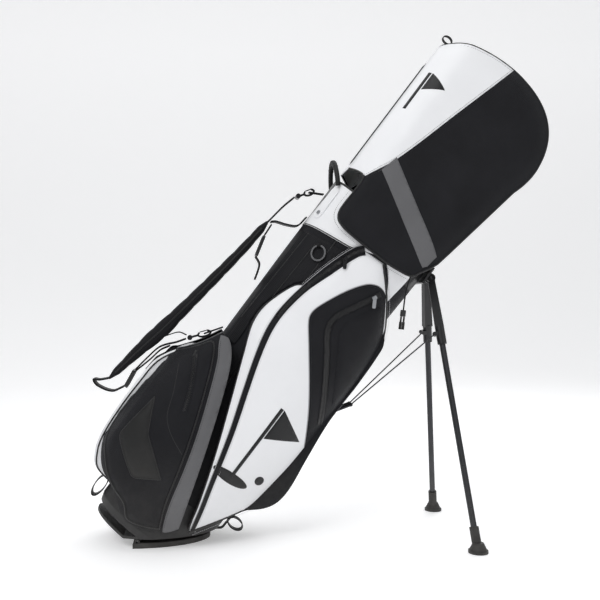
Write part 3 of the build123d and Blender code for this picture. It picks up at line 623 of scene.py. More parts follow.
    def piping(self, name: str, paths: Iterable[Path], radius: float, finish: str, body: str = "bag",
               closed: bool = False) -> bpy.types.Object:
        """Round cord sewn along paths.

        Args:
            name: Piece name.
            paths: The paths, in metres.
            radius: Radius in millimetres.
            finish: Name of the finish.
            body: CAD body that it rides on.
            closed: Whether the paths close on themselves.

        Returns:
            The new object.
        """
        curve = bpy.data.curves.new(name + "_line", "CURVE")
        curve.dimensions, curve.bevel_depth, curve.bevel_resolution = "3D", radius * MM, 2
        curve.use_fill_caps = True
        for path in paths:
            spline = curve.splines.new("POLY")
            spline.points.add(len(path) - 1)
            for point, place in zip(spline.points, path):
                point.co = (*place, 1.0)
            spline.use_cyclic_u = closed
        holder = bpy.data.objects.new(name + "_line", curve)
        bpy.context.scene.collection.objects.link(holder)
        mesh = bpy.data.meshes.new_from_object(holder)
        bpy.data.objects.remove(holder)
        form = bmesh.new()
        form.from_mesh(mesh)
        bpy.data.meshes.remove(mesh)
        return self.finish_mesh(name, form, finish, body)

    def ribbon(self, name: str, path: Path, half_width: Callable[[float], float], thickness: float, finish: str,
               across: Vector = Vector((0, 1, 0)), body: str = "bag", cell: int = 6,
               puff: float = 0.0) -> bpy.types.Object:
        """Flat strap that follows a path.

        Args:
            name: Piece name.
            path: Middle line, in metres.
            half_width: Half width in millimetres at a share of the length.
            thickness: Thickness in millimetres.
            finish: Name of the finish.
            across: Direction of its width.
            body: CAD body that it rides on.
            cell: Number of cells across.
            puff: How far the middle is puffed along its normal, in millimetres.

        Returns:
            The new object.
        """
        form = bmesh.new()
        count = len(path) - 1
        bmesh.ops.create_grid(form, x_segments=count, y_segments=cell, size=0.5)
        for vert in form.verts:
            share, side = vert.co.x + 0.5, vert.co.y * 2
            place = min(count, max(0, round(share * count)))
            run = path[min(count, place + 1)] - path[max(0, place - 1)]
            normal = run.normalized().cross(across)
            vert.co = path[place] + across * (side * half_width(share) * MM) + normal * (puff * (1 - side * side) * MM)
        return self.finish_mesh(name, form, finish, body, thickness, offset=0.0)

    def stitches(self, name: str, paths: Iterable[Path], finish: str, body: str = "bag", length: float = 3.0,
                 pitch: float = 4.6, radius: float = 0.35) -> bpy.types.Object:
        """Row of stitches along paths.

        Args:
            name: Piece name.
            paths: Seam lines, in metres.
            finish: Name of the thread's finish.
            body: CAD body that it rides on.
            length: Length of a stitch in millimetres.
            pitch: Distance between stitches in millimetres.
            radius: Half thickness of the thread in millimetres.

        Returns:
            The new object.
        """
        form = bmesh.new()
        for path in paths:
            left = 0.0
            for start, end in zip(path, path[1:]):
                run = end - start
                size = run.length / MM
                while left < size and size > TINY:
                    turn = run.to_track_quat("X", "Z").to_matrix().to_4x4()
                    place = Matrix.Translation(start + run * (left / size)) @ turn
                    bmesh.ops.create_cube(form, size=1.0, matrix=place @ Matrix.Diagonal(
                        (length * MM, 2 * radius * MM, 1.4 * radius * MM, 1.0)))
                    left += pitch
                left -= size
        return self.finish_mesh(name, form, finish, body, smooth=False)

    def zip_teeth(self, name: str, path: Path, outward: Sequence[Vector], body: str = "bag",
                  finish: str = "satin_plastic") -> bpy.types.Object:
        """Two interleaved rows of teeth along a zip.

        Args:
            name: Piece name.
            path: Middle line of the zip, in metres, evenly spaced at half the tooth pitch.
            outward: Outward direction at each point.
            body: CAD body that it rides on.
            finish: Name of the finish.

        Returns:
            The new object.
        """
        form = bmesh.new()
        for place in range(1, len(path) - 1):
            run = (path[place + 1] - path[place - 1]).normalized()
            out = (outward[place] - run * outward[place].dot(run)).normalized()
            side = out.cross(run) * (1 if place % 2 else -1)
            spot = Matrix((run, side, out)).transposed().to_4x4()
            spot.translation = path[place] + side * (1.2 * MM)
            bmesh.ops.create_cube(form, size=1.0, matrix=spot @ Matrix.Diagonal((1.3 * MM, 3.4 * MM, 1.3 * MM, 1.0)))
        return self.finish_mesh(name, form, finish, body, smooth=False)

    def zip_run(self, name: str, points: Sequence[Point], surface: Surface, side: Side, lift: float,
                tape: float = 9.0, body: str = "bag") -> list[bpy.types.Object]:
        """Zip laid on a surface: recessed tape, teeth and two rows of stitches.

        Args:
            name: Piece name, to which each part's name is added.
            points: Middle line, in u and w.
            surface: Half width of the bag at u, w.
            side: Side of the bag.
            lift: How far the tape stands off the surface.
            tape: Half width of the tape.
            body: CAD body that it rides on.

        Returns:
            The new objects.
        """
        middle = smooth_path(points, 1.5)
        coarse = smooth_path(points, 6.0)
        left, right = beside(coarse, lambda w: -tape), beside(coarse, lambda w: tape)
        made = [self.patch(name + "_tape", left + right[::-1], surface, "black_binding", side, lift, 0.8)]
        teeth = self.line(middle, surface, side, lift + 1.2)
        out = Vector((0, side.value, 0))
        made.append(self.zip_teeth(name + "_teeth", teeth, [out] * len(teeth), body))
        seams = [self.line(beside(coarse, lambda w: k * (tape - 2.0)), surface, side, lift + 1.0) for k in (-1, 1)]
        made.append(self.stitches(name + "_stitches", seams, "thread_black", body))
        lips = [self.line(beside(coarse, lambda w: k * (tape + 0.6)), surface, side, lift + 0.8) for k in (-1, 1)]
        made.append(self.piping(name + "_lips", lips, 0.9, "black_cloth", body))
        return made


# ------------------------------------------------------------------ the bag's sub-assemblies


@dataclass
class Body:
    """The oval tube with its strap-side and spine-side panels, seams and white collar."""

    maker: Maker
    bottom: float = 148.0
    top: float = 852.0
    seam_turns: tuple[float, ...] = (118.0, 62.0)

    def build(self) -> None:
        """Makes the tube, its seams, the collar and the mesh panels."""
        self._tube()
        for side in Side:
            self._collar(side)
            self._mesh_recess(side)
        self._seams()

    def _around(self, turn: float, w: float, lift: float = 0.0) -> Vector:
        """Point on the tube.

        Args:
            turn: Angle in degrees from the spine side.
            w: Distance up the bag.
            lift: How far it stands off the cloth.

        Returns:
            The point in the CAD frame, in metres.
        """
        centre, half_u, half_v = tube(w)
        sag = ripple(turn * 3.0, w, 80, 1.0) if lift == 0 else 0.0
        return BAG.at(centre + (half_u + lift - sag) * math.cos(math.radians(turn)),
                      (half_v + lift - sag) * math.sin(math.radians(turn)), w)

    def _tube(self) -> None:
        """Makes the tube's outer cloth, which stands for the CAD panels."""
        form = bmesh.new()
        bmesh.ops.create_grid(form, x_segments=96, y_segments=90, size=0.5)
        for vert in form.verts:
            turn, w = (vert.co.x + 0.5) * 360.0, self.bottom + (vert.co.y + 0.5) * (self.top - self.bottom)
            vert.co = self._around(turn, w)
        bmesh.ops.remove_doubles(form, verts=form.verts, dist=0.0001)
        bmesh.ops.recalc_face_normals(form, faces=form.faces)
        shell = self.maker.finish_mesh("body_cloth", form, "black_cloth", thickness=2.0, offset=-1.0)
        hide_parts("body_strap_panel", "body_near_panel", "body_far_panel", "body_spine_panel")

    def _collar(self, side: Side) -> None:
        """White cloth collar round the moulded cuff on one side.

        Args:
            side: Side of the bag.
        """
        label = side.name.lower()
        outline = smooth_path([(-148, 828), (-148, 828), (-39, 834), (-12, 846), (52, 858), (112, 790), (112, 790),
                               (122, 870), (118, 908), (118, 908), (0, 929), (-100, 947), (-142, 957),
                               (-142, 957)], 8, closed=True)
        collar = self.maker.patch(f"{label}_collar", outline, tube_skin, "white_cloth", side, 1.2, 1.6)
        seam = smooth_path([(-147, 830), (-39, 836), (-14, 846)], 6)
        self.maker.piping(f"{label}_collar_piping", [self.maker.line(seam, tube_skin, side, 2.6)], 1.5,
                          "black_binding")
        self.maker.stitches(f"{label}_collar_stitches",
                            [self.maker.line(beside(seam, lambda w: -5.0), tube_skin, side, 3.0)], "thread_white")
        rim = smooth_path([(-142, 955), (-100, 947), (0, 929), (118, 908)], 8)
        self.maker.piping(f"{label}_rim_binding", [self.maker.line(rim, tube_skin, side, 1.0)], 3.2,
                          "black_binding")

    def _mesh_recess(self, side: Side) -> None:
        """Open mesh between the strap side and the white band.

        Args:
            side: Side of the bag.
        """
        label = side.name.lower()
        outline = smooth_path([(-146, 812), (-146, 812), (-138, 500), (-138, 500), (-112, 500), (-116, 600),
                               (-108, 640), (-86, 695), (-62, 722), (-34, 820), (-34, 820)], 8, closed=True)
        mesh = self.maker.patch(f"{label}_mesh_panel", outline, tube_skin, "black_mesh", side, 0.8, 1.2)
        for shift, start, end in ((0.0, 815, 560), (26.0, 800, 640)):
            rib = [(-134 + shift + 0.03 * (w - 600), float(w)) for w in range(end, start, 12)]
            self.maker.piping(f"{label}_mesh_rib_{int(shift)}", [self.maker.line(rib, tube_skin, side, 2.0)], 1.6,
                              "black_binding")

    def _seams(self) -> None:
        """Piped seams down the strap side and the spine side."""
        paths = []
        for turn in self.seam_turns:
            for sign in (-1, 1):
                paths.append([self._around(sign * turn, w, 1.0) for w in range(160, 850, 15)])
        self.maker.piping("body_seams", paths, 1.6, "black_binding")
        sewn = [[self._around(sign * (turn + 3.0), w, 0.4) for w in range(160, 850, 15)]
                for turn in self.seam_turns for sign in (-1, 1)]
        self.maker.stitches("body_stitches", sewn, "thread_black")


@dataclass
class ApparelPocket:
    """Big side pocket: white cloth, dark stripe with a zip, and a dark zipped panel."""

    maker: Maker
    side: Side
    inner_v: float = 67.0
    pull_in: float = 9.0
    pull_reach: float = 30.0
    outline: tuple[Point, ...] = (
        (57, 104), (36, 171), (0, 276), (-45, 393), (-88, 503), (-109, 560), (-113, 598), (-106, 637),
        (-85, 690), (-66, 705), (-58, 712), (-44, 760), (-29, 812), (-14, 847), (-14, 847), (48, 851),
        (48, 851), (112, 786), (168, 712), (174, 680), (176, 600), (174, 490), (184, 387), (193, 310),
        (189, 268), (172, 238), (132, 203), (132, 203), (70, 120))
    stripe: tuple[Point, ...] = (
        (62, 110), (48, 165), (33, 215), (-3, 340), (-33, 430), (-57, 505), (-72, 565), (-76, 610), (-73, 650),
        (-66, 690), (-54, 735), (-31, 806), (-17, 838), (-6, 850))
    dark_edge: tuple[Point, ...] = (
        (96, 800), (81, 804), (64, 802), (43, 789), (15, 750), (-12, 694), (-21, 665), (-17, 645), (15, 602),
        (102, 492), (142, 435), (166, 400))
    dark_zip: tuple[Point, ...] = (
        (84, 792), (76, 776), (50, 728), (33, 697), (27, 672), (34, 648), (66, 604), (126, 519), (158, 470))

    def build(self) -> None:
        """Makes the pocket, its coloured panels, zips, piping and printed flag."""
        label = self.side.name.lower()
        edge = smooth_path(self.outline, 7, closed=True)
        self._ring = edge + edge[:1]
        shell = self.maker.patch(f"{label}_apparel_cloth", edge, apparel_skin, "white_cloth", self.side, -1.0, 1.2,
                                 crown=self.pull_in, crown_reach=self.pull_reach,
                                 wall_to=lambda u, w: max(self.inner_v, tube_skin(u, w) - 3.0),
                                 wall_finish="black_cloth")
        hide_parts(f"{label}_apparel_pocket")
        self.maker.patch(f"{label}_apparel_back", edge, lambda u, w: self.inner_v, "black_cloth", self.side, 0.4, 0.8,
                         cell=12)
        self._stripe(label)
        self._dark_panel(label)
        self._edges(label, edge)
        self._flag(label)

    def _skin(self, u: float, w: float) -> float:
        """Outer face of the pocket, pulled in along its edge.

        Args:
            u: Distance towards the spine side.
            w: Distance up the bag.

        Returns:
            Half width of the bag there.
        """
        inward = min(1.0, gap_to(u, w, self._ring) / self.pull_reach)
        return apparel_skin(u, w) - self.pull_in * (1 - inward) ** 2

    def _stripe(self, label: str) -> None:
        """Dark stripe with the long zip, between the white band and the white front.

        Args:
            label: The side's name.
        """
        middle = smooth_path(self.stripe, 7)
        reach = lambda w: ramp(w, ((110, 4.5), (400, 6.0), (690, 7.0), (760, 11.0), (850, 11.5)))
        left, right = beside(middle, lambda w: -reach(w)), beside(middle, reach)
        self.maker.patch(f"{label}_zip_stripe", left + right[::-1], self._skin, "black_cloth", self.side, 0.2, 0.8,
                         cell=6)
        self.maker.piping(f"{label}_stripe_piping", [self.maker.line(left, self._skin, self.side, 0.9)], 0.9,
                          "grey_piping")
        self.maker.piping(f"{label}_stripe_edge", [self.maker.line(right, self._skin, self.side, 0.8)], 0.8,
                          "black_binding")
        seams = [self.maker.line(beside(middle, lambda w: k * (reach(w) + 3.5)), self._skin, self.side, 0.2)
                 for k in (-1, 1)]
        self.maker.stitches(f"{label}_stripe_stitches", seams, "thread_white")
        self.maker.zip_run(f"{label}_side_zip", self.stripe[7:], self._skin, self.side, 0.9, 5.0)

    def _dark_panel(self, label: str) -> None:
        """Dark zipped panel on the spine side, with a recessed curved zip.

        Args:
            label: The side's name.
        """
        edge = smooth_path(list(self.dark_edge) + [(166, 400), (178, 392), (178, 392), (170, 490), (171, 600),
                                                   (169, 680), (163, 708), (96, 800)], 7, closed=True)
        self.maker.patch(f"{label}_dark_panel", edge, self._skin, "black_cloth", self.side, 1.4, 1.4,
                         crown=1.4, crown_reach=12.0)
        border = smooth_path(self.dark_edge, 6)
        self.maker.piping(f"{label}_dark_piping", [self.maker.line(border, self._skin, self.side, 0.8)], 1.2,
                          "grey_piping")
        inner = smooth_path([(96, 768), (84, 748), (64, 712), (54, 686), (56, 662), (82, 620), (136, 540),
                             (166, 497), (166, 497), (167, 600), (165, 676), (160, 700), (112, 764)], 7, closed=True)
        self.maker.patch(f"{label}_dark_cushion", inner, self._skin, "black_cloth", self.side, 5.5, 1.4,
                         crown=4.0, crown_reach=16.0, wall_to=lambda u, w: self._skin(u, w) + 1.5)
        self.maker.zip_run(f"{label}_front_zip", self.dark_zip, self._skin, self.side, 2.6, 7.0)
        sewn = [self.maker.line(beside(border, lambda w: -5.0), self._skin, self.side, 3.2)]
        self.maker.stitches(f"{label}_dark_stitches", sewn, "thread_black")

    def _edges(self, label: str, edge: Sequence[Point]) -> None:
        """Black binding round the pocket's edge.

        Args:
            label: The side's name.
            edge: Points of the pocket's outline.
        """
        start = min(range(len(edge)), key=lambda i: math.dist(edge[i], (57, 104)))
        top = min(range(len(edge)), key=lambda i: math.dist(edge[i], (48, 851)))
        order = list(edge[start:]) + list(edge[:start])
        top = (top - start) % len(edge)
        self.maker.piping(f"{label}_apparel_binding",
                          [self.maker.line(order[top:] + order[:1], self._skin, self.side, 0.4)], 3.0,
                          "black_binding")
        self.maker.piping(f"{label}_band_binding",
                          [self.maker.line(order[:max(2, top - 24)], self._skin, self.side, 0.2)], 1.8,
                          "black_binding")
        sewn = beside(order[top:], lambda w: -8.0)
        self.maker.stitches(f"{label}_apparel_stitches", [self.maker.line(sewn, self._skin, self.side, 0.5)],
                            "thread_white")

    def _flag(self, label: str) -> None:
        """Printed pictogram: a pin flag standing over a cup and a ball.

        Args:
            label: The side's name.
        """
        base_u, base_w = 56.0, 262.0
        pole = [(base_u - 4, base_w), (base_u + 4, base_w), (base_u + 4, base_w + 190), (base_u - 4, base_w + 190)]
        cloth = [(base_u + 6, base_w + 190), (base_u + 6, base_w + 112), (base_u + 84, base_w + 150)]
        cup = [(base_u + 46 * math.cos(t), base_w - 2 + 13 * math.sin(t))
               for t in (k * math.tau / 36 for k in range(36))]
        ball = [(base_u + 62 + 11 * math.cos(t), base_w + 26 + 11 * math.sin(t))
                for t in (k * math.tau / 28 for k in range(28))]
        for name, shape in (("pole", pole), ("pennant", cloth), ("cup", cup), ("ball", ball)):
            self.maker.patch(f"{label}_flag_{name}", shape, self._skin, "print_black", self.side, 0.35, 0.35,
                             cell=9)


@dataclass
class LowerPocket:
    """Dark lower pocket with a grey stripe, a raised panel and an embossed chevron."""

    maker: Maker
    side: Side
    outline: tuple[Point, ...] = (
        (-150, 507), (-150, 507), (-124, 496), (-92, 452), (-60, 372), (-28, 282), (2, 192), (34, 96), (34, 96),
        (6, 66), (-75, 46), (-137, 86), (-190, 112), (-226, 165), (-228, 240), (-228, 330), (-226, 400),
        (-206, 420), (-174, 462))
    stripe: tuple[Point, ...] = (
        (8, 74), (-15, 128), (-35, 204), (-57, 279), (-88, 365), (-124, 451), (-143, 482), (-151, 500),
        (-151, 500), (-135, 506), (-112, 488), (-89, 450), (-58, 374), (-26, 284), (3, 196), (33, 100),
        (33, 100), (20, 82))
    raised: tuple[Point, ...] = (
        (-156, 478), (-176, 452), (-206, 414), (-219, 404), (-216, 376), (-219, 334), (-224, 277), (-226, 219),
        (-223, 180), (-212, 152), (-185, 123), (-165, 106), (-137, 90), (-99, 76), (-72, 52), (-30, 62),
        (-2, 76), (-2, 76), (-24, 128), (-45, 204), (-68, 279), (-99, 365), (-133, 446))
    chevron: tuple[Point, ...] = (
        (-186, 305), (-186, 305), (-150, 233), (-150, 233), (-66, 168), (-66, 168), (-112, 139), (-124, 138),
        (-188, 183), (-198, 198))

    def build(self) -> None:
        """Makes the pocket and its panels."""
        label = self.side.name.lower()
        edge = smooth_path(self.outline, 7, closed=True)
        shell = self.maker.patch(f"{label}_lower_cloth", edge, lower_skin, "black_cloth", self.side, -2.0, 1.2,
                                 crown=9.0, crown_reach=26.0,
                                 wall_to=lambda u, w: max(56.0, tube_skin(u, w) - 3.0))
        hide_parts(f"{label}_lower_pocket")
        ring = edge + edge[:1]
        skin = lambda u, w: lower_skin(u, w) - 2.0 - 9.0 * (1 - min(1.0, gap_to(u, w, ring) / 26.0)) ** 2
        stripe = smooth_path(self.stripe, 7, closed=True)
        self.maker.patch(f"{label}_grey_stripe", stripe, skin, "grey_cloth", self.side, 1.4, 1.2, cell=7)
        half = len(stripe) // 2
        self.maker.stitches(f"{label}_stripe_seams",
                            [self.maker.line(part, skin, self.side, 2.8) for part in
                             (beside(stripe[2:half - 4], lambda w: 3.0), beside(stripe[half + 4:-8], lambda w: 3.0))],
                            "thread_black")
        raised = smooth_path(self.raised, 7, closed=True)
        self.maker.patch(f"{label}_raised_panel", raised, skin, "black_cloth", self.side, 4.2, 1.2, crown=3.6,
                         crown_reach=18.0, wall_to=lambda u, w: skin(u, w) + 0.4)
        self.maker.piping(f"{label}_raised_piping",
                          [self.maker.line(raised + raised[:1], skin, self.side, 2.0)], 2.2, "black_binding")
        chevron = smooth_path(self.chevron, 6, closed=True, taut=0.4)
        high = lambda u, w: skin(u, w) + 4.0 - 3.6 * (1 - min(1.0, gap_to(u, w, raised + raised[:1]) / 18.0)) ** 2
        self.maker.patch(f"{label}_chevron", chevron, high, "black_rubber", self.side, 4.5, 1.0, cell=6, crown=3.8,
                         crown_reach=12.0, wall_to=lambda u, w: high(u, w) + 0.2)
        self.maker.piping(f"{label}_chevron_rim", [self.maker.line(chevron + chevron[:1], high, self.side, 0.9)],
                          2.0, "black_binding")
        self.maker.zip_run(f"{label}_short_zip", [(-176, 440), (-150, 396), (-130, 356), (-116, 318)], high,
                           self.side, 0.4, 6.0)
        seam = smooth_path([(-188, 396), (-160, 340), (-140, 290), (-112, 264), (-62, 240)], 6)
        self.maker.piping(f"{label}_lower_seam", [self.maker.line(seam, high, self.side, 0.4)], 1.3,
                          "black_binding")


@dataclass
class BallPocket:
    """White pocket on the strap side, crowned between its piped edges."""

    maker: Maker
    half_width: float = 64.0
    profile: tuple[Point, ...] = (
        (-120, 78), (-196, 88), (-222, 120), (-234, 160), (-240, 230), (-240, 300), (-236, 362), (-214, 408),
        (-186, 442), (-122, 450))

    def build(self) -> None:
        """Makes the front cloth, its side walls, piping and zip."""
        path = smooth_path(self.profile, 7)
        form = bmesh.new()
        bmesh.ops.create_grid(form, x_segments=len(path) - 1, y_segments=18, size=0.5)
        for vert in form.verts:
            place = round((vert.co.x + 0.5) * (len(path) - 1))
            side = vert.co.y * 2
            u, w = path[place]
            inward = 7.0 * abs(side) ** 3 + ripple(w, side * 60, 45, 1.5)
            drop = inward * min(1.0, place / 5, (len(path) - 1 - place) / 5)
            vert.co = BAG.at(u + drop, side * self.half_width, w)
        bmesh.ops.recalc_face_normals(form, faces=form.faces)
        if sum(face.normal.x for face in form.faces) > 0:
            bmesh.ops.reverse_faces(form, faces=form.faces)
        front = self.maker.finish_mesh("ball_pocket_cloth", form, "white_cloth", thickness=1.4, offset=-1.0)
        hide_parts("ball_pocket")
        for side in Side:
            label = side.name.lower()
            wall = smooth_path(list(self.profile) + [(-122, 450), (-120, 78)], 8, closed=True)
            self.maker.patch(f"{label}_ball_side", wall, lambda u, w: self.half_width - 1.0, "white_cloth", side,
                             0.0, 1.0)
            edge = [BAG.at(u + 6.5 * min(1.0, i / 5, (len(path) - 1 - i) / 5), side.value * self.half_width, w)
                    for i, (u, w) in enumerate(path)]
            self.maker.piping(f"{label}_ball_piping", [edge], 1.8, "black_binding")
            sewn = [BAG.at(u + 3.0 * min(1.0, i / 5, (len(path) - 1 - i) / 5) - 0.6,
                           side.value * (self.half_width - 7), w) for i, (u, w) in enumerate(path)]
            self.maker.stitches(f"{label}_ball_stitches", [sewn], "thread_white")
        arch = [(-s * 44, 392 - 60 * abs(s) ** 2.4) for s in (k / 12 for k in range(-12, 13))]
        line = [BAG.at(ramp(w, sorted((p[1], p[0]) for p in self.profile[3:8])) - 1.2, v, w) for v, w in arch]
        self.maker.piping("ball_zip_lips", [line], 2.4, "black_binding")


@dataclass
class Hood:
    """Rain hood: white strap-side panels, dark sides with a grey stripe, and a dark gusset."""

    maker: Maker
    arcs: tuple[tuple[Point, Point, Point], ...] = (
        ((-140, 1384), (-50, 1414), (40, 1420)), ((40, 1420), (163, 1374), (212, 1268)),
        ((212, 1268), (211, 1226), (199, 1180)))
    hem: tuple[Point, ...] = (
        (151, 931), (140, 908), (128, 888), (116, 868), (80, 860), (44, 857), (-40, 858), (-75, 861), (-94, 868),
        (-104, 884), (-106, 910), (-105, 950), (-108, 985), (-122, 991), (-143, 992))
    seam: tuple[Point, ...] = ((30, 1419), (-20, 1243), (-70, 1067), (-105, 988))
    left_u: float = -144.0
    edge_round: float = 22.0
    strap_round: float = 68.0

    def _top(self) -> list[Point]:
        """The hood's outline from the strap-side top round to the spine-side hem.

        Returns:
            Its points in u and w.
        """
        out: list[Point] = []
        for start, middle, end in self.arcs:
            for k in range(24):
                t = k / 24
                weights = ((1 - t) * (1 - 2 * t), 4 * t * (1 - t), t * (2 * t - 1))
                out.append(tuple(sum(c * p[i] for c, p in zip(weights, (start, middle, end))) for i in (0, 1)))
        return out + [(199 - 48 * k / 34, 1180 - 249 * k / 34) for k in range(35)]

    @staticmethod
    def _block(w: float) -> float:
        """Half width of the hood's block at height w."""
        return ramp(w, ((790, 123.0), (965, 121.5), (1435, 76.0)))

    def _skin(self, u: float, w: float) -> float:
        """Half width of the hood, rounded off towards the strap side and its piped edge.

        Args:
            u: Distance towards the spine side.
            w: Distance up the bag.

        Returns:
            The half width in millimetres.
        """
        left = min(1.0, max(0.0, (u - self.left_u) / self.strap_round))
        edge = min(1.0, gap_to(u, w, self._edge) / 60.0)
        sag = ripple(u, w, 110, 3.0) + ripple(u, w, 40, 0.9)
        return (self._block(w) - self.strap_round * (1 - left) ** 2.2 - self.edge_round * (1 - edge) ** 2
                + sag * min(1.0, left * 2) * edge)

    def build(self) -> None:
        """Makes the panels, gusset, piping, hem, zip and loop."""
        self._edge = self._top()
        seam = smooth_path(self.seam, 8)
        hem = smooth_path(self.hem, 7)
        top_left = [p for p in self._edge if p[0] < 29.0 and p[1] > 1300]
        rest = self._edge[len(top_left):]
        split = min(range(len(hem)), key=lambda i: math.dist(hem[i], (-105, 987)))
        white = ([(self.left_u, 992.0)] + [(self.left_u, 992.0 + 8 * k) for k in range(1, 48)]
                 + [(self.left_u, 1380.0)] + top_left + seam + hem[split + 1:-1])
        dark = rest + hem[:split] + seam[::-1]
        for side in Side:
            label = side.name.lower()
            pale = self.maker.patch(f"{label}_hood_white", white, self._skin, "white_cloth", side, 0.0, 1.6, cell=7,
                                    body="hood")
            deep = self.maker.patch(f"{label}_hood_dark", dark, self._skin, "black_cloth", side, 0.0, 1.6, cell=7,
                                    body="hood")
            stripe = [(-88, 1010), (-85, 1020)] + [(-85 + 208 * k / 20, 1020 - 122 * k / 20) for k in range(1, 20)]
            upper = [(-74 + 209 * k / 20, 1065 - 123 * k / 20) for k in range(21)]
            self.maker.patch(f"{label}_hood_stripe", stripe + [(124, 898), (132, 908), (137, 940)]
                             + upper[::-1][1:], self._skin, "grey_cloth", side, 0.5, 1.6, body="hood")
            rim = self.maker.line(self._edge, self._skin, side, 0.6)
            self.maker.piping(f"{label}_hood_piping", [rim], 2.6, "black_binding", "hood")
            low = self.maker.line(hem, self._skin, side, 0.4)
            self.maker.piping(f"{label}_hood_hem", [low], 2.6, "black_binding", "hood")
            inner = beside(self._edge, lambda w: 8.0)
            self.maker.stitches(f"{label}_hood_stitches", [self.maker.line(inner, self._skin, side, 1.8)],
                                "thread_black", "hood")
            joint = [self.maker.line(beside(seam, lambda w: k * 4.0), self._skin, side, 1.8) for k in (-1, 1)]
            self.maker.stitches(f"{label}_hood_seam", joint, "thread_black", "hood")
            above = beside(hem[3:-4], lambda w: -9.0)
            self.maker.stitches(f"{label}_hem_stitches", [self.maker.line(above, self._skin, side, 1.8)],
                                "thread_black", "hood")
            self._flag(label, side)
        self._gusset()
        self._zip_and_loop()

    def _gusset(self) -> None:
        """Dark band that joins the two sides round the top and the spine side, and the white strap side."""
        edge = self._edge
        count = len(edge) - 1
        path = [BAG.at(u, 0, w) for u, w in edge]
        half = lambda share: self._skin(*edge[min(count, max(0, round(share * count)))]) + 1.0
        band = self.maker.ribbon("hood_gusset", path, half, 1.6, "black_cloth", body="hood", cell=14, puff=-1.5)
        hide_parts("hood_shell")
        back = [(self.left_u, 992.0 + 8 * k) for k in range(49)] + [(self.left_u + 1, 1381.0), (-140, 1384)]
        path = [BAG.at(u, 0, w) for u, w in back]
        count_back = len(back) - 1
        half_back = lambda share: self._skin(*back[min(count_back, max(0, round(share * count_back)))]) + 1.2
        pale = self.maker.ribbon("hood_strap_side", path, half_back, 1.6, "white_cloth", body="hood", cell=14)

    def _zip_and_loop(self) -> None:
        """Zip up the strap side, and the webbing loop that lifts the hood."""
        tape = [BAG.at(self.left_u - 1.8, 0, w) for w in range(1016, 1326, 8)]
        made = self.maker.ribbon("hood_zip_tape", tape, lambda share: 11.0, 1.0, "black_binding", body="hood")
        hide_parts("hood_zip")
        teeth = [BAG.at(self.left_u - 3.0, 0, 1018 + 1.5 * k) for k in range(200)]
        self.maker.zip_teeth("hood_zip_teeth", teeth, [BAG.way(-1, 0, 0)] * len(teeth), "hood")
        loop = [(-138 + 12.4 * math.cos(t), 1402 + 8.2 * math.sin(t)) for t in (k * math.tau / 32 for k in range(33))]
        strap = self.maker.ribbon("hood_loop_webbing", [BAG.at(u, 0, w) for u, w in loop], lambda share: 5.0, 1.8,
                                  "black_webbing", body="hood", cell=4)
        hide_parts("hood_loop")

    def _flag(self, label: str, side: Side) -> None:
        """Small printed pin flag near the strap side.

        Args:
            label: The side's name.
            side: Side of the bag.
        """
        pole = [(-128, 1180), (-122, 1180), (-122, 1290), (-128, 1290)]
        cloth = [(-120, 1290), (-120, 1240), (-76, 1264)]
        for name, shape in (("pole", pole), ("pennant", cloth)):
            self.maker.patch(f"{label}_hood_flag_{name}", shape, self._skin, "print_black", side, 0.5, 1.5, cell=6,
                             body="hood")


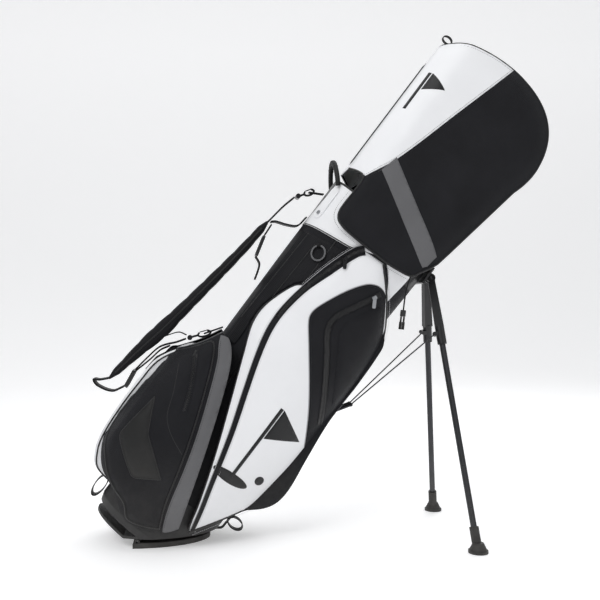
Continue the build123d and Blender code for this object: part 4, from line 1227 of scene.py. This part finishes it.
@dataclass
class Strap:
    """Shoulder pad, its webbing, and the loops that it and its neighbours need."""

    maker: Maker
    outer: tuple[Point, ...] = ((-303, 258), (-296, 332), (-288, 404), (-270, 497), (-242, 676), (-229, 782))
    inner: tuple[Point, ...] = ((-288, 258), (-269, 338), (-248, 419), (-241, 482), (-217, 690), (-212, 782))
    half_width: float = 31.0

    def build(self) -> None:
        """Makes the pad, webbing runs, keepers and loops."""
        self._pad()
        self._webbing()
        self._loops()

    def _pad(self) -> None:
        """Quilted pad between its two faces, bound along both edges."""
        out_line, in_line = smooth_path(self.outer, 6), smooth_path(self.inner, 6)
        count = 90
        form = bmesh.new()
        bmesh.ops.create_grid(form, x_segments=count, y_segments=40, size=0.5)
        rows = []
        for place in range(count + 1):
            a = out_line[min(len(out_line) - 1, round(place / count * (len(out_line) - 1)))]
            b = in_line[min(len(in_line) - 1, round(place / count * (len(in_line) - 1)))]
            rows.append((a, b))
        for vert in form.verts:
            place = round((vert.co.x + 0.5) * count)
            turn = (vert.co.y + 0.5) * math.tau
            a, b = rows[place]
            end = min(1.0, place / 4, (count - place) / 4)
            wide, thick = math.cos(turn), math.sin(turn)
            wide = math.copysign(abs(wide) ** 0.45, wide)
            thick = math.copysign(abs(thick) ** 0.55, thick)
            quilt = 0.10 * abs(math.sin(place * math.pi / 9)) ** 0.5 + 0.90 if abs(thick) > 0.5 else 1.0
            share = 0.5 - 0.5 * thick * quilt * (0.35 + 0.65 * end)
            u, w = a[0] + (b[0] - a[0]) * share, a[1] + (b[1] - a[1]) * share
            vert.co = BAG.at(u, wide * self.half_width * (0.82 + 0.18 * end), w)
        bmesh.ops.remove_doubles(form, verts=form.verts, dist=0.0002)
        bmesh.ops.holes_fill(form, edges=[e for e in form.edges if e.is_boundary], sides=0)
        bmesh.ops.recalc_face_normals(form, faces=form.faces)
        pad = self.maker.finish_mesh("shoulder_pad_cloth", form, "black_mesh", subdivide=1)
        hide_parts("shoulder_pad")
        rims = []
        for side in Side:
            rims.append([BAG.at((a[0] + b[0]) / 2, side.value * (self.half_width - 0.6), (a[1] + b[1]) / 2)
                         for a, b in rows[4:-4]])
        self.maker.piping("pad_binding", rims, 1.9, "black_binding")

    def _webbing(self) -> None:
        """Webbing between the pad, the adjusters, the hooks and the bag."""
        runs = {
            "upper_webbing": [(-222, 770), (-219, 788), (-213, 832), (-205, 866)],
            "branch_webbing": [(-214, 786), (-206, 793), (-180, 803), (-158, 817), (-153, 846)],
            "adjuster_webbing": [(-209, 780), (-207, 752)],
            "lower_branch": [(-193, 697), (-176, 689), (-168, 672), (-162, 652)],
            "end_loop": [(-294, 262), (-312, 243), (-324, 236), (-308, 230), (-272, 240), (-257, 264)],
            "lock_webbing": [(-259, 314), (-254, 350), (-247, 386), (-236, 404), (-222, 420), (-208, 441)],
            "lock_return": [(-256, 312), (-246, 352), (-240, 384), (-229, 404)],
        }
        for name, points in runs.items():
            path = [BAG.at(u, 0, w) for u, w in smooth_path(points, 5)]
            strap = self.maker.ribbon(name, path, lambda share: 15.5, 3.8, "black_webbing", cell=8)
            if name == "upper_webbing":
                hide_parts("strap_webbing")
            seams = [[p + Vector((0, k * 12.5 * MM, 0)) for p in path] for k in (-1, 1)]
            self.maker.stitches(f"{name}_stitches", seams, "thread_black", radius=2.0)
        band = [BAG.at(u, 0, w) for u, w in smooth_path([(-256, 408), (-246, 424), (-230, 444), (-212, 449)], 4)]
        self.maker.ribbon("strap_bridge", band, lambda share: 14.0, 2.0, "black_webbing", cell=6)

    def _loops(self) -> None:
        """Webbing loops at the base and at the foot of the strap side."""
        for name, stood_for, centre, size, v, half in (
                ("base_loop_webbing", "base_webbing_loop", (144, 166), (19.4, 12.4), -36.0, 10.0),
                ("umbrella_loop_webbing", "umbrella_loop", (-162, 46), (11.8, 28.2), 0.0, 13.0)):
            ring = [(centre[0] + size[0] * math.cos(t), centre[1] + size[1] * math.sin(t))
                    for t in (k * math.tau / 40 for k in range(41))]
            strap = self.maker.ribbon(name, [BAG.at(u, v, w) for u, w in ring], lambda share: half, 2.4,
                                      "black_webbing", cell=6)
            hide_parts(stood_for)


@dataclass
class Handle:
    """Rubber grab handle over the mouth, on two white riveted tabs."""

    maker: Maker
    half_width: float = 55.0
    rise: float = 61.0

    def build(self) -> None:
        """Makes the ribbed arch."""
        root, lean = BAG.at(-140, 0, 944), BAG.way(-43, 0, 49)
        across = Vector((0, 1, 0))
        normal = across.cross(lean)
        form = bmesh.new()
        count = 72
        bmesh.ops.create_grid(form, x_segments=count, y_segments=20, size=0.5)
        for vert in form.verts:
            turn = (vert.co.x + 0.5) * math.pi
            place = round((vert.co.x + 0.5) * count)
            around = (vert.co.y + 0.5) * math.tau
            middle = root + across * (self.half_width * math.cos(turn) * MM) + lean * (self.rise * math.sin(turn) * MM)
            out = (across * math.cos(turn) / self.half_width + lean * math.sin(turn) / self.rise).normalized()
            rib = 0.5 if place % 4 < 2 and 18 < place < 54 else 0.0
            radial = math.copysign(abs(math.cos(around)) ** 0.7, math.cos(around)) * (6.4 + rib)
            flat = math.copysign(abs(math.sin(around)) ** 0.7, math.sin(around)) * (5.6 + rib)
            vert.co = middle + out * (radial * MM) + normal * (flat * MM)
        bmesh.ops.remove_doubles(form, verts=form.verts, dist=0.0001)
        bmesh.ops.holes_fill(form, edges=[e for e in form.edges if e.is_boundary], sides=0)
        bmesh.ops.recalc_face_normals(form, faces=form.faces)
        arch = self.maker.finish_mesh("grab_handle_grip", form, "black_rubber")
        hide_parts("grab_handle")


@dataclass
class Legs:
    """Fluted leg tubes that stand for the plain CAD ones."""

    maker: Maker
    pivot: tuple[float, float, float] = (176.0, -24.0, 908.0)
    foot: tuple[float, float, float] = (593.0, -182.0, 458.4)
    radius: float = 7.0
    start: float = 128.2
    flutes: int = 12

    def build(self) -> None:
        """Makes both tubes."""
        for side in Side:
            label = side.name.lower()
            top = BAG.at(self.pivot[0], -side.value * self.pivot[1], self.pivot[2])
            low = BAG.at(self.foot[0], -side.value * self.foot[1], self.foot[2])
            run = (low - top).normalized()
            reach = (low - top).length - 22.0 * MM
            form = bmesh.new()
            ring = bmesh.ops.create_circle(form, segments=4 * self.flutes, radius=self.radius * MM, cap_ends=False)
            for k, vert in enumerate(ring["verts"]):
                if k % 4 == 0:
                    vert.co *= 0.925
            turn = run.to_track_quat("Z", "Y").to_matrix().to_4x4()
            turn.translation = top + run * (self.start * MM)
            bmesh.ops.transform(form, verts=form.verts, matrix=turn)
            made = bmesh.ops.extrude_edge_only(form, edges=form.edges[:])["geom"]
            bmesh.ops.translate(form, verts=[x for x in made if isinstance(x, bmesh.types.BMVert)],
                                vec=run * (reach - self.start * MM))
            bmesh.ops.recalc_face_normals(form, faces=form.faces)
            tube_made = self.maker.finish_mesh(f"{label}_leg_fluted", form, "leg_metal", f"{label}_leg",
                                               smooth=False)
            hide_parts(f"{label}_leg_tube")


@dataclass
class DrawCord:
    """Elastic drawcord that hangs from the hood's hem with its lock and two ends."""

    maker: Maker
    side_v: float = -120.8
    diameter: float = 3.5

    def build(self) -> None:
        """Makes the cord on its route."""
        v = self.side_v
        route = ((114, v, 866.6), (116.5, v - 1, 857), (121, v - 1.5, 844), (128, v - 1.2, 828), (137.5, v, 811),
                 (147.3, v + 1.5, 795))
        curve = bpy.data.curves.new("hood_drawcord", "CURVE")
        curve.dimensions, curve.bevel_depth, curve.bevel_resolution = "3D", self.diameter / 2 * MM, 4
        curve.resolution_u = 12
        spline = curve.splines.new("NURBS")
        spline.points.add(len(route) - 1)
        for point, place in zip(spline.points, route):
            point.co = (*BAG.at(*place), 1.0)
        spline.order_u = 3
        spline.use_endpoint_u = True
        cord = bpy.data.objects.new("hood_drawcord", curve)
        bpy.context.scene.collection.objects.link(cord)
        self.maker.palette.dress(cord, "black_webbing")
        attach(cord, "hood")
        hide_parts("hood_cord")


@dataclass
class HardParts:
    """Finishes of the CAD pieces that keep their own shape."""

    maker: Maker
    nodes: dict[str, bpy.types.Object]

    FINISH_OF = {
        "base_cup": "rough_plastic", "rocker_foot": "black_rubber", "rocker_pin": "bright_steel",
        "cuff_ring": "satin_plastic", "divider_top": "rough_plastic", "divider_sleeves": "black_cloth",
        "stay_rods": "glass_fibre", "handle_tabs": "white_cloth", "handle_rivets": "dull_silver",
        "leg_yoke": "satin_plastic", "leg_hinge_pins": "bright_steel", "bow_slider": "satin_plastic",
        "push_rod": "black_metal", "rod_guides": "rough_plastic", "strap_adjusters": "satin_plastic",
        "upper_strap_hook": "black_metal", "lower_strap_hook": "black_metal", "upper_hook_gate": "black_metal",
        "lower_hook_gate": "black_metal", "strap_anchor_loops": "black_webbing", "towel_ring": "black_metal",
        "towel_tab": "black_webbing", "cord_lock": "satin_plastic", "cord_ends": "black_rubber",
    }

    def build(self) -> None:
        """Dresses every CAD piece that shows."""
        finishes = dict(self.FINISH_OF)
        for side in ("near", "far"):
            finishes[f"{side}_leg_bracket"] = "satin_plastic"
            finishes[f"{side}_leg_foot"] = "black_rubber"
            finishes[f"{side}_bow_arm"] = "black_metal"
            for zip_name in ("side_zip", "front_zip"):
                for part in ("slider", "pull"):
                    finishes[f"{side}_{zip_name}_{part}"] = "dull_silver" if zip_name == "front_zip" else "black_metal"
        for name, finish in finishes.items():
            self.maker.palette.dress(self.nodes[name], finish)
            LOG.info("%s: CAD piece in %s", name, finish)


@dataclass
class Studio:
    """Pale sweep, soft lights and the camera."""

    eye: tuple[float, float, float] = (-0.2635, -1.9345, 0.560)
    turn: float = -4.3
    lens: float = 48.5
    shift: float = 0.05
    lamps: tuple[tuple[str, tuple[float, float, float], float, float], ...] = (
        ("key", (-1.8, -2.4, 3.0), 1.6, 46.0), ("fill", (2.8, -2.0, 1.6), 2.2, 8.0),
        ("rim", (1.2, 2.0, 2.4), 1.6, 22.0), ("top", (0.0, -0.2, 3.2), 2.0, 20.0))

    def build(self) -> None:
        """Makes the sweep, the lights, the world and the camera."""
        self._sweep()
        scene = bpy.context.scene
        scene.view_settings.view_transform = "Standard"
        world = bpy.data.worlds.new("studio")
        scene.world = world
        world.use_nodes = True
        world.node_tree.nodes["Background"].inputs["Color"].default_value = (0.97, 0.98, 1.0, 1)
        world.node_tree.nodes["Background"].inputs["Strength"].default_value = 0.42
        for name, place, size, power in self.lamps:
            lamp = bpy.data.lights.new(name, "AREA")
            lamp.energy, lamp.size = power, size
            holder = bpy.data.objects.new(name, lamp)
            holder.location = place
            holder.rotation_euler = (Vector((0, 0, 0.6)) - Vector(place)).to_track_quat("-Z", "Y").to_euler()
            scene.collection.objects.link(holder)
        view = bpy.data.cameras.new("camera")
        view.lens, view.sensor_width, view.shift_x = self.lens, 36.0, self.shift
        camera = bpy.data.objects.new("camera", view)
        camera.location = self.eye
        camera.rotation_euler = (math.radians(90), 0, math.radians(self.turn))
        scene.collection.objects.link(camera)
        scene.camera = camera

    @staticmethod
    def _sweep() -> None:
        """Floor that curves up into a wall far behind the bag."""
        profile = [(-9.0, 0.0), (3.0, 0.0)]
        profile += [(3.0 + 3.0 * math.sin(t), 3.0 - 3.0 * math.cos(t)) for t in
                    (k * math.pi / 32 for k in range(1, 17))]
        profile += [(6.0, 9.0)]
        form = bmesh.new()
        line = [form.verts.new((-14.0, y, z)) for y, z in profile]
        edges = [form.edges.new(pair) for pair in zip(line, line[1:])]
        made = bmesh.ops.extrude_edge_only(form, edges=edges)["geom"]
        bmesh.ops.translate(form, verts=[x for x in made if isinstance(x, bmesh.types.BMVert)], vec=(28.0, 0, 0))
        bmesh.ops.recalc_face_normals(form, faces=form.faces)
        mesh = bpy.data.meshes.new("sweep")
        form.to_mesh(mesh)
        form.free()
        mesh.polygons.foreach_set("use_smooth", [True] * len(mesh.polygons))
        floor = bpy.data.objects.new("sweep", mesh)
        bpy.context.scene.collection.objects.link(floor)
        pale = bpy.data.materials.new("pale_floor")
        pale.use_nodes = True
        shader = pale.node_tree.nodes["Principled BSDF"]
        shader.inputs["Base Color"].default_value = (0.93, 0.93, 0.935, 1)
        shader.inputs["Roughness"].default_value = 0.7
        shader.inputs["Emission Color"].default_value = (1.0, 1.0, 1.0, 1)
        shader.inputs["Emission Strength"].default_value = 0.30
        mesh.materials.append(pale)


def main() -> None:
    """Builds the studio and the bag in order."""
    logging.basicConfig(level=logging.INFO, format="%(message)s")
    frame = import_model()
    Studio().build()
    maker = Maker(Palette())
    DrawCord(maker).build()
    HardParts(maker, frame["nodes"]).build()
    Body(maker).build()
    for side in Side:
        ApparelPocket(maker, side).build()
        LowerPocket(maker, side).build()
    BallPocket(maker).build()
    Hood(maker).build()
    Strap(maker).build()
    Handle(maker).build()
    Legs(maker).build()


if __name__ == "__main__":
    main()
